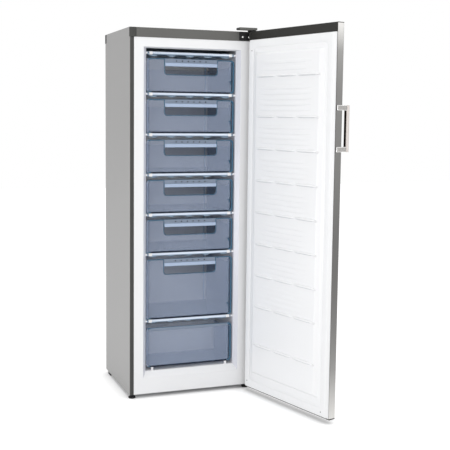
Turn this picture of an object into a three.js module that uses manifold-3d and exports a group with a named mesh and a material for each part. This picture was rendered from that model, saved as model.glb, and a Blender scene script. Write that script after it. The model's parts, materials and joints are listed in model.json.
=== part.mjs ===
// Upright freezer with seven freezing shelves, seven drawers and one door hinged on the right.
// Millimetres, +Z up, the door opens towards -Y. The model stands on z = 0 with its door open.
import * as THREE from 'three';
import { mergeVertices } from 'three/addons/utils/BufferGeometryUtils.js';
import Module from 'manifold-3d';

const wasm = await Module();
wasm.setup();

// ---------------------------------------------------------------- driving dimensions

// Cabinet shell
const GAP = 0.3; // what touching pieces keep between them
const CABINET_WIDTH = 600;
const CABINET_DEPTH = 470; // side panel, front to back
const CABINET_TOP = 1700;
const FOOT_HEIGHT = 18;
const SHEET = 1; // folded steel
const BASE_SHEET = 2;
const PANEL_CORNER = 3;
const FRONT_FLANGE = 21; // steel seen from the front, beside the white frame
const BACK_FLANGE = 15;
const FASCIA_HEIGHT = 42.5;
const FASCIA_DEPTH = 14;
const FASCIA_PROUD = 2;
const FASCIA_WALL = 2.5;
const END_CAP_WIDTH = 30;
const END_CAP_PROUD = 3.5;
const REAR_TRIM_HEIGHT = 42;
const REAR_TRIM_DEPTH = 24;
const REAR_TRIM_PROUD = 8;
const REAR_TRIM_WALL = 3;
const THERMOSTAT_WIDTH = 64;
const THERMOSTAT_HEIGHT = 34;
const THERMOSTAT_SIDE = 52; // from the cabinet's left side

// Freezing space
const LINER_WALL = 2;
const SIDE_WALL = 83; // steel, insulation and liner together
const BACK_WALL = 60;
const TOP_WALL = 46.5; // from the strip above the door to the inside's top
const FLOOR_WALL = 101; // from the base plate to the inside's floor
const INSIDE_CORNER = 10;
const MOUTH_DEPTH = 22; // slanted walls that lead in from the white frame
const MOUTH_SIDE = 17;
const MOUTH_BELOW = 28;
const MOUTH_ABOVE = 5;
const LEDGE_WIDTH = 8;
const LEDGE_HEIGHT = 8;
const LEDGE_FRONT = 28;
const GLIDE_WIDTH = 10;
const GLIDE_HEIGHT = 14;
const GLIDE_SPREAD = 365;
const MACHINE_HEADROOM = 61.7; // over the compressor
const HUMP_INSULATION = 36;

// Shelves, which are the evaporator
const TOP_SHELF_BELOW = 13; // from the inside's top to the first bar's top
const LAST_SHELF_ABOVE = 76; // from the hump's top to the last bar's top
const EQUAL_SHELVES = 6;
const TALL_SPACE = 313; // between the last two shelves
const BAR_HEIGHT = 15;
const BAR_FRONT = 26;
const BAR_CORNER = 3;
const SHELF_TUBE = 8;
const SHELF_PASSES = 10;
const SHELF_SIDE_CLEAR = 19; // from the outer passes' middle to the liner
const SHELF_FRONT = 44; // middle of the tube in its front bends
const SHELF_BACK_CLEAR = 36; // from the rear bends' middle to the liner
const ROD = 3;
const ROD_SUNK = 0.8; // how far a rod is let into the tubes
const ROD_COUNT = 3;
const ROD_FRONT = 41;
const ROD_BACK_CLEAR = 50;
const ROD_OVERHANG = 15;
const RISER_FROM_BACK = 10;
const RISER_EXIT_ABOVE = 154; // from the hump's top to where the pipes leave
const RISER_ABOVE = 6;

// Drawers
const DRAWER_SIDE_CLEAR = 4; // beside the shelves' ledges
const DRAWER_WALL = 2.5;
const DRAWER_FRONT = 30;
const DRAWER_BACK_CLEAR = 30;
const DRAWER_CORNER = 14;
const DRAWER_RIM = 3;
const DRAWER_GAP_ABOVE = 15; // from the front's top to the bar above
const DRAWER_SIDE_DROP = 34; // the sides stand lower than the front
const DRAWER_TOE = 6; // the front's lower edge stands above the drawer's floor
const DRAWER_TOE_RUN = 12;
const DRAWER_SLOPE_FRONT = 14;
const DRAWER_SLOPE_RUN = 36;
const BOTTOM_DRAWER_BACK_CLEAR = 12; // before the hump
const BOTTOM_DRAWER_GAP_ABOVE = 25;
const GRIP_WIDTH = 254;
const GRIP_STRIP = 20;
const GRIP_LIP = 12;
const GRIP_LIP_PROUD = 5;
const GRIP_HOLE = 40;
const GRIP_CORNER = 14;

// Door: u runs from the hinge side, v outwards from the inner face
const DOOR_OPEN = 105; // degrees
const DOOR_THICKNESS = 35;
const DOOR_GAP = 14; // between the door's inner face and the cabinet
const DOOR_BOTTOM = 20;
const DOOR_TOP_CLEAR = 1;
const DOOR_CAP_HEIGHT = 39;
const DOOR_LID = 3; // the cap's top, which covers the steel's upper edge
const DOOR_SILL_HEIGHT = 5;
const DOOR_CORNER = 4;
const DOOR_FLANGE = 14;
const CAP_WALL = 3;
const DOOR_LINER_WALL = 2;
const DOOR_LINER_EDGE = 4;
const PLUG_DEPTH = 25; // the raised middle of the door liner
const PLUG_SIDE = 84; // from the door's sides
const PLUG_SLOPE_SIDE = 31;
const PLUG_FOOT_MARGIN = 90; // from the lower cap
const PLUG_HEAD_MARGIN = 70; // from the upper cap
const PLUG_SLOPE_END = 17;
const RAIL_HEIGHT = 14;
const RAIL_PROUD = 6;
const RAIL_SLOPE = 4;
const RAIL_MARGIN = 12;
const RAIL_BREAK = 9;
const RAIL_SEGMENTS = 3;
const TOP_RAIL_DROP = 99; // from the raised middle's head
const FIRST_RAIL_DROP = 180;
const EVEN_RAILS = 7;
const LAST_RAIL_DROP = 183;
const LAST_RAIL_ABOVE = 133.4; // from the raised middle's foot
const GASKET_MARGIN = 14;
const GASKET_WIDTH = 28;
const GASKET_CLEAR = 0.5;

// Hinges
const HINGE_SIDE = 12; // axis from the door's side
const HINGE_FRONT = 22; // axis from the door's inner face
const PIN = 8;
const PIN_CLEAR = 0.1;
const BUSH_WALL = 3;
const BUSH_HEIGHT = 22;
const BUSH_COLLAR = 20;
const HINGE_PLATE = 2.8;
const HINGE_WIDTH = 76; // the leg that is screwed to the strip above the door
const HINGE_LEG = 41;
const HINGE_NECK = 34; // width of the neck between the leg and the raised plate
const HINGE_RISE = 8; // from the cabinet's top to the raised plate
const HINGE_PLATE_WIDTH = 86;
const HINGE_PAST_PIN = 6;
const HINGE_LUG = 16; // square tongue around a pin
const HINGE_FOOT_WIDTH = 40;
const HINGE_FOOT_LENGTH = 60;
const COVER_ABOVE = 4.9; // from the raised plate to the cover's faces
const COVER_BELOW = 2.7;
const COVER_WALL = 1;
const COVER_ROUND = 3;
const SCREW_HEAD = 10.5;
const SCREW_HEAD_HEIGHT = 2.4;
const SCREW_SHANK = 4;
const SCREW_LENGTH = 12;
const SCREW_PLACES = [17, 48]; // from the bracket's left edge
const SCREW_BELOW_TOP = 24;

// Handle
const HANDLE_DROP = 534; // from the door's top to the bar's lower end
const HANDLE_LENGTH = 195;
const HANDLE_WIDTH = 16;
const HANDLE_DEPTH = 18;
const HANDLE_CORNER = 3;
const HANDLE_STANDOFF = 25;
const HANDLE_INSET = 2;
const BRACKET_HEIGHT = 22;
const BRACKET_PLATE = 4;
const BRACKET_EDGE = 3;
const BRACKET_NECK = 14;

// Feet
const FOOT_DIAMETER = 33;
const FOOT_SIDE = 18;
const FOOT_FRONT = 21;
const FOOT_PAD = 7;
const FOOT_NECK = 14;
const FOOT_CHAMFER = 1;
const SPINDLE = 8;
const SPINDLE_LENGTH = 14;
const REAR_FOOT_LENGTH = 46;
const REAR_FOOT_WIDTH = 26;

// Refrigerating machine
const CONDENSER_TUBE = 6;
const CONDENSER_PASSES = 15;
const CONDENSER_TOP_DROP = 100; // from the cabinet's top
const CONDENSER_ABOVE_EXIT = 124; // over the pipes' way out
const CONDENSER_SIDE = 68; // from the cabinet's sides
const CONDENSER_BEHIND = 18;
const CONDENSER_RAIL = 12;
const CONDENSER_RAIL_DEPTH = 3.5;
const CONDENSER_RAIL_GRIP = 1; // how far a rail lets the tube in
const CONDENSER_RAIL_SPREAD = 300;
const COMPRESSOR_SIDE = 60; // left of the cabinet's middle
const COMPRESSOR_WIDTH = 176;
const COMPRESSOR_DEPTH = 146;
const COMPRESSOR_HEIGHT = 158;
const COMPRESSOR_FRONT_CLEAR = 13;
const COMPRESSOR_BACK_CLEAR = 11;
const COMPRESSOR_FOOT = 10;
const COMPRESSOR_PLATE = 4;
const COMPRESSOR_BUFFER = 20; // diameter of its rubber feet
const COMPRESSOR_CURVE = [
  [0.8, 0], // share of the radius, share of the height
  [1, 0.12],
  [1, 0.78],
  [0.86, 0.9],
  [0.5, 0.98],
];
const RELAY_WIDTH = 26;
const RELAY_DEPTH = 46;
const RELAY_HEIGHT = 52;
const RELAY_ABOVE = 58; // heights over the base plate
const LEAD_INLET_ABOVE = 72; // the mains lead's inlet
const INLET_COLLAR = 14;
const INLET_BORE = 8;
const INLET_LENGTH = 12;
const INLET_DEPTH = 16;
const PIPE = 6;
const PIPE_BEND = 20;
const SUCTION_ABOVE = 130; // heights over the base plate
const DISCHARGE_ABOVE = 90;
const DISCHARGE_SIDE = 38; // from the cabinet's side
const DRIER = 18;
const DRIER_LENGTH = 90;
const DRIER_WALL = 1;
const DRIER_SIDE = 60; // from the cabinet's side
const DRIER_ABOVE = 92; // over the base plate
const DRIER_LOOP = 30;

const ROUND_STEPS = 4; // facets of a rounded corner
const TUBE_SIDES = 6;

// ---------------------------------------------------------------- derived places

const SIDE = CABINET_WIDTH / 2;
const BACK = CABINET_DEPTH;
const INNER_SIDE = SIDE - SHEET - GAP;
const BASE_TOP = FOOT_HEIGHT + BASE_SHEET;
const FASCIA_BOTTOM = CABINET_TOP - FASCIA_HEIGHT;
const REAR_TRIM_BOTTOM = CABINET_TOP - REAR_TRIM_HEIGHT;
const REAR_TRIM_FRONT = BACK - REAR_TRIM_DEPTH;
const BACK_PANEL = BACK - SHEET - GAP; // its rear face
const MACHINE_FRONT = BACK - COMPRESSOR_BACK_CLEAR - COMPRESSOR_DEPTH - COMPRESSOR_FRONT_CLEAR;
const COMPRESSOR_BOTTOM = BASE_TOP + GAP + COMPRESSOR_FOOT;
const MACHINE_TOP = COMPRESSOR_BOTTOM + COMPRESSOR_HEIGHT + MACHINE_HEADROOM;
const HUMP_FRONT = MACHINE_FRONT - HUMP_INSULATION;
const HUMP_TOP = MACHINE_TOP + HUMP_INSULATION;
const INSIDE = SIDE - SIDE_WALL;
const INSIDE_DEPTH = BACK - BACK_WALL;
const INSIDE_TOP = FASCIA_BOTTOM - TOP_WALL;
const INSIDE_FLOOR = BASE_TOP + FLOOR_WALL;
const TOP_SHELF = INSIDE_TOP - TOP_SHELF_BELOW;
const LAST_SHELF = HUMP_TOP + LAST_SHELF_ABOVE;
const SHELF_PITCH = (TOP_SHELF - LAST_SHELF - TALL_SPACE) / (EQUAL_SHELVES - 1);
const SHELF_LEVELS = [];
for (let index = 0; index < EQUAL_SHELVES; index += 1) SHELF_LEVELS.push(TOP_SHELF - index * SHELF_PITCH);
SHELF_LEVELS.push(LAST_SHELF);
const TUBE_DROP = ROD - ROD_SUNK + SHELF_TUBE / 2; // tube middle under the bar's top
const SHELF_HALF = INSIDE - SHELF_SIDE_CLEAR;
const SHELF_TUBE_PITCH = (2 * SHELF_HALF) / (SHELF_PASSES - 1);
const SHELF_BACK = INSIDE_DEPTH - SHELF_BACK_CLEAR;
const ROD_BACK = INSIDE_DEPTH - ROD_BACK_CLEAR;
const RISER_Y = INSIDE_DEPTH - RISER_FROM_BACK;
const RISER_EXIT = HUMP_TOP + RISER_EXIT_ABOVE;
const DRAWER_HALF = INSIDE - LEDGE_WIDTH - DRAWER_SIDE_CLEAR;
const DRAWER_DEPTH = INSIDE_DEPTH - DRAWER_BACK_CLEAR - DRAWER_FRONT;
const BOTTOM_DRAWER_DEPTH = HUMP_FRONT - BOTTOM_DRAWER_BACK_CLEAR - DRAWER_FRONT;
const BOTTOM_DRAWER_FLOOR = INSIDE_FLOOR + GLIDE_HEIGHT;
const AXIS_X = SIDE - HINGE_SIDE;
const AXIS_Y = -(DOOR_GAP + HINGE_FRONT);
const DOOR_WIDTH = CABINET_WIDTH;
const DOOR_TOP = CABINET_TOP - DOOR_TOP_CLEAR;
const LID_BOTTOM = DOOR_TOP - DOOR_LID;
const CAP_BOTTOM = DOOR_TOP - DOOR_CAP_HEIGHT;
const SILL_TOP = DOOR_BOTTOM + DOOR_SILL_HEIGHT;
const PLUG_FOOT = SILL_TOP + PLUG_FOOT_MARGIN;
const PLUG_HEAD = CAP_BOTTOM - PLUG_HEAD_MARGIN;
const TOP_RAIL = PLUG_HEAD - TOP_RAIL_DROP;
const LAST_RAIL = PLUG_FOOT + LAST_RAIL_ABOVE;
const RAIL_RUN = TOP_RAIL - FIRST_RAIL_DROP - LAST_RAIL_DROP - LAST_RAIL;
const RAIL_PITCH = RAIL_RUN / (EVEN_RAILS - 1);
const RAIL_LEVELS = [TOP_RAIL];
for (let index = 0; index < EVEN_RAILS; index += 1) {
  RAIL_LEVELS.push(TOP_RAIL - FIRST_RAIL_DROP - index * RAIL_PITCH);
}
RAIL_LEVELS.push(LAST_RAIL);
const BUSH = PIN + 2 * (PIN_CLEAR + BUSH_WALL);
const BUSH_TOP = DOOR_BOTTOM + BUSH_HEIGHT;
const HINGE_LEFT = INNER_SIDE - HINGE_WIDTH;
const HINGE_LEG_BACK = -(FASCIA_PROUD + GAP);
const HINGE_LEG_FRONT = HINGE_LEG_BACK - HINGE_PLATE;
const HINGE_BOTTOM = CABINET_TOP + HINGE_RISE; // the raised plate's underside
const HINGE_TOP = HINGE_BOTTOM + HINGE_PLATE;
const HINGE_RIGHT = AXIS_X + HINGE_PAST_PIN;
const HINGE_FRONT_EDGE = AXIS_Y - HINGE_LUG / 2;
const HANDLE_FRONT = DOOR_THICKNESS + HANDLE_STANDOFF;
const HANDLE_U = DOOR_WIDTH - HANDLE_INSET;
const HANDLE_BOTTOM = DOOR_TOP - HANDLE_DROP;
const CONDENSER_Y = BACK + CONDENSER_BEHIND;
const CONDENSER_HALF = SIDE - CONDENSER_SIDE;
const CONDENSER_TOP = CABINET_TOP - CONDENSER_TOP_DROP;
const CONDENSER_BOTTOM = RISER_EXIT + CONDENSER_ABOVE_EXIT;
const CONDENSER_PITCH = (CONDENSER_TOP - CONDENSER_BOTTOM) / (CONDENSER_PASSES - 1);
const COMPRESSOR_Y = BACK - COMPRESSOR_BACK_CLEAR - COMPRESSOR_DEPTH / 2;
const RELAY_BOTTOM = BASE_TOP + RELAY_ABOVE;
const LEAD_INLET = BASE_TOP + LEAD_INLET_ABOVE;
const SUCTION_LEVEL = BASE_TOP + SUCTION_ABOVE;
const DISCHARGE_LEVEL = BASE_TOP + DISCHARGE_ABOVE;
const DISCHARGE_X = -SIDE + DISCHARGE_SIDE;
const DRIER_X = SIDE - DRIER_SIDE;
const DRIER_BOTTOM = BASE_TOP + DRIER_ABOVE;
const OUT = 1; // how far a cutting shape runs past the face it cuts

// ---------------------------------------------------------------- solid helpers

function toSolid(geometry) {
  const bare = new THREE.BufferGeometry();
  bare.setAttribute('position', geometry.getAttribute('position').clone());
  if (geometry.index) bare.setIndex(geometry.index.clone());
  const merged = mergeVertices(bare, 1e-4);
  const triVerts = [];
  for (let i = 0; i < merged.index.count; i += 3) {
    const [a, b, c] = [0, 1, 2].map((corner) => merged.index.getX(i + corner));
    if (a !== b && b !== c && c !== a) triVerts.push(a, b, c);
  }
  const vertProperties = new Float32Array(merged.getAttribute('position').array);
  return new wasm.Manifold(
    new wasm.Mesh({ numProp: 3, vertProperties, triVerts: new Uint32Array(triVerts) }),
  );
}

function toGeometry(solid) {
  const mesh = solid.getMesh();
  const geometry = new THREE.BufferGeometry();
  geometry.setAttribute('position', new THREE.BufferAttribute(new Float32Array(mesh.vertProperties), 3));
  geometry.setIndex(new THREE.BufferAttribute(new Uint32Array(mesh.triVerts), 1));
  return geometry;
}

const combine = (operation, first, others) =>
  toGeometry(others.reduce((solid, other) => solid[operation](toSolid(other)), toSolid(first)));
const join = (first, ...others) => combine('add', first, others);
const cut = (first, ...tools) => combine('subtract', first, tools);
const meet = (first, ...others) => combine('intersect', first, others);

function block(x0, x1, y0, y1, z0, z1) {
  const box = new THREE.BoxGeometry(x1 - x0, y1 - y0, z1 - z0);
  return box.translate((x0 + x1) / 2, (y0 + y1) / 2, (z0 + z1) / 2);
}

// A closed outline from [a, b, radius] corners; a corner with a radius becomes an arc.
function outline(corners) {
  const points = [];
  corners.forEach(([a, b, radius = 0], index) => {
    const corner = new THREE.Vector2(a, b);
    if (radius <= 0) {
      points.push(corner);
      return;
    }
    const before = corners[(index + corners.length - 1) % corners.length];
    const after = corners[(index + 1) % corners.length];
    const back = new THREE.Vector2(before[0] - a, before[1] - b).normalize();
    const ahead = new THREE.Vector2(after[0] - a, after[1] - b).normalize();
    const half = Math.acos(back.dot(ahead)) / 2;
    const middle = back.clone().add(ahead).normalize();
    const centre = corner.clone().addScaledVector(middle, radius / Math.sin(half));
    const start = corner.clone().addScaledVector(back, radius / Math.tan(half)).sub(centre);
    const end = corner.clone().addScaledVector(ahead, radius / Math.tan(half)).sub(centre);
    let sweep = end.angle() - start.angle();
    if (sweep > Math.PI) sweep -= 2 * Math.PI;
    if (sweep < -Math.PI) sweep += 2 * Math.PI;
    for (let step = 0; step <= ROUND_STEPS; step += 1) {
      const turned = start.clone().rotateAround(new THREE.Vector2(), (sweep * step) / ROUND_STEPS);
      points.push(turned.add(centre));
    }
  });
  return points;
}

const rectangle = (a0, a1, b0, b1, lowRadius = 0, highRadius = lowRadius) =>
  outline([[a0, b0, lowRadius], [a1, b0, lowRadius], [a1, b1, highRadius], [a0, b1, highRadius]]);

const extrude = (points, depth) =>
  new THREE.ExtrudeGeometry(new THREE.Shape(points), { depth, bevelEnabled: false });

// Outlines drawn in plan (x, y), from the front (x, z) and from the side (y, z).
const slabZ = (points, z0, z1) => extrude(points, z1 - z0).translate(0, 0, z0);
const slabY = (points, y0, y1) => extrude(points, y1 - y0).rotateX(Math.PI / 2).translate(0, y1, 0);
const slabX = (points, x0, x1) =>
  extrude(points, x1 - x0)
    .applyMatrix4(new THREE.Matrix4().set(0, 0, 1, 0, 1, 0, 0, 0, 0, 1, 0, 0, 0, 0, 0, 1))
    .translate(x0, 0, 0);

// A four-sided taper along Y between two upright rectangles [x0, x1, z0, z1].
function taper(near, nearY, far, farY) {
  const ring = ([x0, x1, z0, z1], y) => [x0, y, z0, x1, y, z0, x1, y, z1, x0, y, z1];
  const geometry = new THREE.BufferGeometry();
  const places = new Float32Array([...ring(near, nearY), ...ring(far, farY)]);
  geometry.setAttribute('position', new THREE.BufferAttribute(places, 3));
  const faces = [[0, 1, 2, 3], [4, 7, 6, 5], [0, 4, 5, 1], [3, 2, 6, 7], [0, 3, 7, 4], [1, 5, 6, 2]];
  geometry.setIndex(faces.flatMap(([a, b, c, d]) => [a, b, c, a, c, d]));
  return geometry;
}

const grown = ([x0, x1, z0, z1], by) => [x0 - by, x1 + by, z0 - by, z1 + by];

function rod(diameter, z0, z1, x, y, sides = 24) {
  const cylinder = new THREE.CylinderGeometry(diameter / 2, diameter / 2, z1 - z0, sides);
  return cylinder.rotateX(Math.PI / 2).translate(x, y, (z0 + z1) / 2);
}

function rodY(diameter, y0, y1, x, z, sides = 16) {
  const cylinder = new THREE.CylinderGeometry(diameter / 2, diameter / 2, y1 - y0, sides);
  return cylinder.translate(x, (y0 + y1) / 2, z);
}

function turned(profile, sides) {
  const points = profile.map(([radius, z]) => new THREE.Vector2(radius, z));
  return new THREE.LatheGeometry(points, sides).rotateX(Math.PI / 2);
}

// A path whose sections stand exactly at the listed points.
class Route extends THREE.Curve {
  constructor(points) {
    super();
    this.points = points;
  }
  getPoint(t) {
    return this.points[Math.round(t * (this.points.length - 1))].clone();
  }
  getPointAt(u) {
    return this.getPoint(u);
  }
  getTangentAt(u) {
    const index = Math.round(u * (this.points.length - 1));
    const before = this.points[Math.max(index - 1, 0)];
    const here = this.points[index];
    const after = this.points[Math.min(index + 1, this.points.length - 1)];
    const arriving = here.clone().sub(before).normalize();
    const leaving = after.clone().sub(here).normalize();
    return arriving.add(leaving).normalize();
  }
}

// A bent tube through corner points [x, y, z]; each square corner is an arc of the bend radius.
function pipe(corners, diameter, bend, bendSteps) {
  const places = corners.map((corner) => new THREE.Vector3(...corner));
  const rings = [places[0]];
  for (let index = 1; index < places.length - 1; index += 1) {
    const back = places[index - 1].clone().sub(places[index]).normalize();
    const ahead = places[index + 1].clone().sub(places[index]).normalize();
    const centre = places[index].clone().addScaledVector(back, bend).addScaledVector(ahead, bend);
    for (let step = 0; step <= bendSteps; step += 1) {
      const turn = (Math.PI / 2) * (step / bendSteps);
      const ring = centre.clone().addScaledVector(ahead, -bend * Math.cos(turn));
      ring.addScaledVector(back, -bend * Math.sin(turn));
      if (ring.distanceTo(rings[rings.length - 1]) > 0.01) rings.push(ring);
    }
  }
  rings.push(places[places.length - 1]);
  const section = Array.from({ length: TUBE_SIDES }, (_, side) => {
    const angle = (2 * Math.PI * (side + 0.5)) / TUBE_SIDES;
    return new THREE.Vector2(Math.cos(angle), Math.sin(angle)).multiplyScalar(diameter / 2);
  });
  return new THREE.ExtrudeGeometry(new THREE.Shape(section), {
    steps: rings.length - 1,
    extrudePath: new Route(rings),
    bevelEnabled: false,
  });
}

// ---------------------------------------------------------------- scene graph

const freezer = new THREE.Group();
const cabinet = new THREE.Group();
const hinged = new THREE.Group(); // turns about the hinge axis
const door = new THREE.Group(); // u along +X, v along +Y
freezer.add(cabinet, hinged);
hinged.add(door);
hinged.position.set(AXIS_X, AXIS_Y, 0);
hinged.rotation.z = Math.PI + THREE.MathUtils.degToRad(DOOR_OPEN);
door.position.set(-HINGE_SIDE, -HINGE_FRONT, 0);

function add(parent, name, geometry, [color, roughness, metalness]) {
  const material = new THREE.MeshStandardMaterial({ color, roughness, metalness });
  const mesh = new THREE.Mesh(toGeometry(toSolid(geometry)), material);
  mesh.name = name;
  parent.add(mesh);
}

const GREY_PAINT = [0xa9a8a6, 0.42, 0.35];
const FASCIA_GREY = [0x6b6a66, 0.5, 0];
const CAP_GREY = [0x3f3e3b, 0.5, 0];
const BLACK_PLASTIC = [0x1a1a1b, 0.55, 0];
const WHITE_LINER = [0xf0f1f3, 0.35, 0];
const PALE_BAR = [0xd6e4f2, 0.35, 0];
const WHITE_WIRE = [0xe4e8ec, 0.4, 0.1];
const CLEAR_BLUE = [0xb9cbe0, 0.2, 0];
const ZINC = [0xb7b9bb, 0.35, 0.9];
const BRUSHED_STEEL = [0x9c9b97, 0.35, 1];
const POLISHED_STEEL = [0xc9c9c7, 0.18, 1];
const FOAM = [0xe9dfae, 0.9, 0];
const BLACK_STEEL = [0x202124, 0.45, 0.4];
const COPPER = [0xb87348, 0.35, 1];
const SOFT_WHITE = [0xd9dadb, 0.7, 0];

// ---------------------------------------------------------------- cabinet shell

// A flat side with a rounded front edge and two turned-in flanges, drawn for the left.
function sidePanel(side) {
  const left = outline([
    [-SIDE, 0, PANEL_CORNER],
    [-SIDE + FRONT_FLANGE, 0],
    [-SIDE + FRONT_FLANGE, SHEET],
    [-SIDE + SHEET, SHEET, PANEL_CORNER - SHEET],
    [-SIDE + SHEET, BACK - SHEET],
    [-SIDE + BACK_FLANGE, BACK - SHEET],
    [-SIDE + BACK_FLANGE, BACK],
    [-SIDE, BACK],
  ]);
  const points = side < 0 ? left : left.map((point) => new THREE.Vector2(-point.x, point.y));
  const panel = slabZ(points, FOOT_HEIGHT, CABINET_TOP);
  const top = CABINET_TOP + OUT;
  const low = FASCIA_BOTTOM - GAP;
  const wide = SIDE + OUT;
  const fasciaSpace = block(-INNER_SIDE, INNER_SIDE, -OUT, FASCIA_DEPTH + GAP, low, top);
  const corner = block(-wide, wide, -OUT, PANEL_CORNER, low, top);
  const rear = block(-wide, wide, REAR_TRIM_FRONT - GAP, BACK + OUT, REAR_TRIM_BOTTOM - GAP, top);
  return cut(panel, fasciaSpace, corner, rear);
}

function topPanel() {
  const [front, back] = [FASCIA_DEPTH + GAP, REAR_TRIM_FRONT - GAP];
  return block(-INNER_SIDE, INNER_SIDE, front, back, CABINET_TOP - SHEET, CABINET_TOP);
}

function backPanel() {
  const [bottom, top] = [MACHINE_TOP + SHEET + GAP, REAR_TRIM_BOTTOM - GAP];
  const sheet = block(-INNER_SIDE, INNER_SIDE, BACK_PANEL - SHEET, BACK_PANEL, bottom, top);
  return cut(sheet, ...pipeHoles());
}

// The steel plate that carries everything, bored for the front feet.
function basePlate() {
  const plate = block(-INNER_SIDE, INNER_SIDE, LINER_WALL + GAP, BACK_PANEL, FOOT_HEIGHT, BASE_TOP);
  const bores = [-1, 1].map((side) => spindleHole(side, FOOT_HEIGHT - OUT, BASE_TOP + OUT));
  return cut(plate, ...bores);
}

const spindleHole = (side, z0, z1) =>
  rod(SPINDLE + 2 * PIN_CLEAR, z0, z1, side * (SIDE - FOOT_SIDE), FOOT_FRONT);

// The folded wall between the insulation and the machine compartment.
function machineHousing() {
  const profile = outline([
    [MACHINE_FRONT, BASE_TOP + GAP],
    [MACHINE_FRONT + SHEET, BASE_TOP + GAP],
    [MACHINE_FRONT + SHEET, MACHINE_TOP],
    [BACK_PANEL, MACHINE_TOP],
    [BACK_PANEL, MACHINE_TOP + SHEET],
    [MACHINE_FRONT, MACHINE_TOP + SHEET],
  ]);
  return slabX(profile, -INNER_SIDE, INNER_SIDE);
}

function fasciaStrip() {
  const left = -INNER_SIDE + END_CAP_WIDTH + GAP;
  const body = block(left, INNER_SIDE, -FASCIA_PROUD, FASCIA_DEPTH, FASCIA_BOTTOM, CABINET_TOP);
  const hollow = block(
    left + FASCIA_WALL,
    INNER_SIDE - FASCIA_WALL,
    FASCIA_WALL - FASCIA_PROUD,
    FASCIA_DEPTH + OUT,
    FASCIA_BOTTOM + FASCIA_WALL,
    CABINET_TOP - FASCIA_WALL,
  );
  return cut(body, hollow, ...screwHoles());
}

function fasciaEndCap() {
  const right = -INNER_SIDE + END_CAP_WIDTH;
  const plan = outline([
    [-INNER_SIDE, -END_CAP_PROUD, END_CAP_PROUD],
    [right, -END_CAP_PROUD, FASCIA_PROUD / 2],
    [right, FASCIA_DEPTH],
    [-INNER_SIDE, FASCIA_DEPTH],
  ]);
  const hollow = block(
    -INNER_SIDE + FASCIA_WALL,
    right - FASCIA_WALL,
    FASCIA_WALL - END_CAP_PROUD,
    FASCIA_DEPTH + OUT,
    FASCIA_BOTTOM + FASCIA_WALL,
    CABINET_TOP - FASCIA_WALL,
  );
  return cut(slabZ(plan, FASCIA_BOTTOM, CABINET_TOP), hollow);
}

function rearTopTrim() {
  const back = BACK + REAR_TRIM_PROUD;
  const profile = rectangle(REAR_TRIM_FRONT, back, REAR_TRIM_BOTTOM, CABINET_TOP, 0, REAR_TRIM_WALL);
  const hollow = block(
    -SIDE + REAR_TRIM_WALL,
    SIDE - REAR_TRIM_WALL,
    REAR_TRIM_FRONT + REAR_TRIM_WALL,
    back - REAR_TRIM_WALL,
    REAR_TRIM_BOTTOM - OUT,
    CABINET_TOP - REAR_TRIM_WALL,
  );
  return cut(slabX(profile, -SIDE, SIDE), hollow);
}

// Sits in the hollow strip above the door, with its capsule against the strip.
function thermostat() {
  const left = -SIDE + THERMOSTAT_SIDE;
  const front = FASCIA_WALL - FASCIA_PROUD + GAP;
  const bottom = FASCIA_BOTTOM + FASCIA_WALL + GAP;
  return block(left, left + THERMOSTAT_WIDTH, front, FASCIA_DEPTH, bottom, bottom + THERMOSTAT_HEIGHT);
}

// ---------------------------------------------------------------- freezing space

// The inside seen from the side, with the hump over the machine compartment.
function insideProfile(by) {
  return outline([
    [MOUTH_DEPTH - LINER_WALL, INSIDE_FLOOR - by],
    [HUMP_FRONT + by, INSIDE_FLOOR - by, INSIDE_CORNER],
    [HUMP_FRONT + by, HUMP_TOP - by, INSIDE_CORNER],
    [INSIDE_DEPTH + by, HUMP_TOP - by, INSIDE_CORNER],
    [INSIDE_DEPTH + by, INSIDE_TOP + by, INSIDE_CORNER],
    [MOUTH_DEPTH - LINER_WALL, INSIDE_TOP + by],
  ]);
}

// The whole hollow of the liner, or the same grown outwards by a wall.
function insideSpace(by) {
  const throat = [-INSIDE, INSIDE, INSIDE_FLOOR, INSIDE_TOP];
  const mouth = [
    -INSIDE - MOUTH_SIDE,
    INSIDE + MOUTH_SIDE,
    INSIDE_FLOOR - MOUTH_BELOW,
    INSIDE_TOP + MOUTH_ABOVE,
  ];
  const leadIn = taper(grown(mouth, by), by > 0 ? 0 : -OUT / 10, grown(throat, by), MOUTH_DEPTH);
  return join(slabX(insideProfile(by), -INSIDE - by, INSIDE + by), leadIn);
}

function innerLiner() {
  const frameHalf = SIDE - FRONT_FLANGE - GAP;
  const frame = block(-frameHalf, frameHalf, 0, LINER_WALL, BASE_TOP + GAP, FASCIA_BOTTOM - GAP);
  const shell = cut(join(frame, insideSpace(LINER_WALL)), insideSpace(0), ...pipeHoles());
  const sunk = LINER_WALL / 2;
  const ledges = SHELF_LEVELS.flatMap((level) => {
    const top = level - ROD - GAP;
    const run = [LEDGE_FRONT, ROD_BACK + ROD, top - LEDGE_HEIGHT, top];
    return [
      block(-INSIDE - sunk, -INSIDE + LEDGE_WIDTH, ...run),
      block(INSIDE - LEDGE_WIDTH, INSIDE + sunk, ...run),
    ];
  });
  const glides = [-1, 1].map((side) => {
    const middle = (side * GLIDE_SPREAD) / 2;
    const glideBack = DRAWER_FRONT + BOTTOM_DRAWER_DEPTH;
    const x = [middle - GLIDE_WIDTH / 2, middle + GLIDE_WIDTH / 2];
    return block(...x, LEDGE_FRONT, glideBack, INSIDE_FLOOR - sunk, BOTTOM_DRAWER_FLOOR - GAP);
  });
  return join(shell, ...ledges, ...glides);
}

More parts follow.
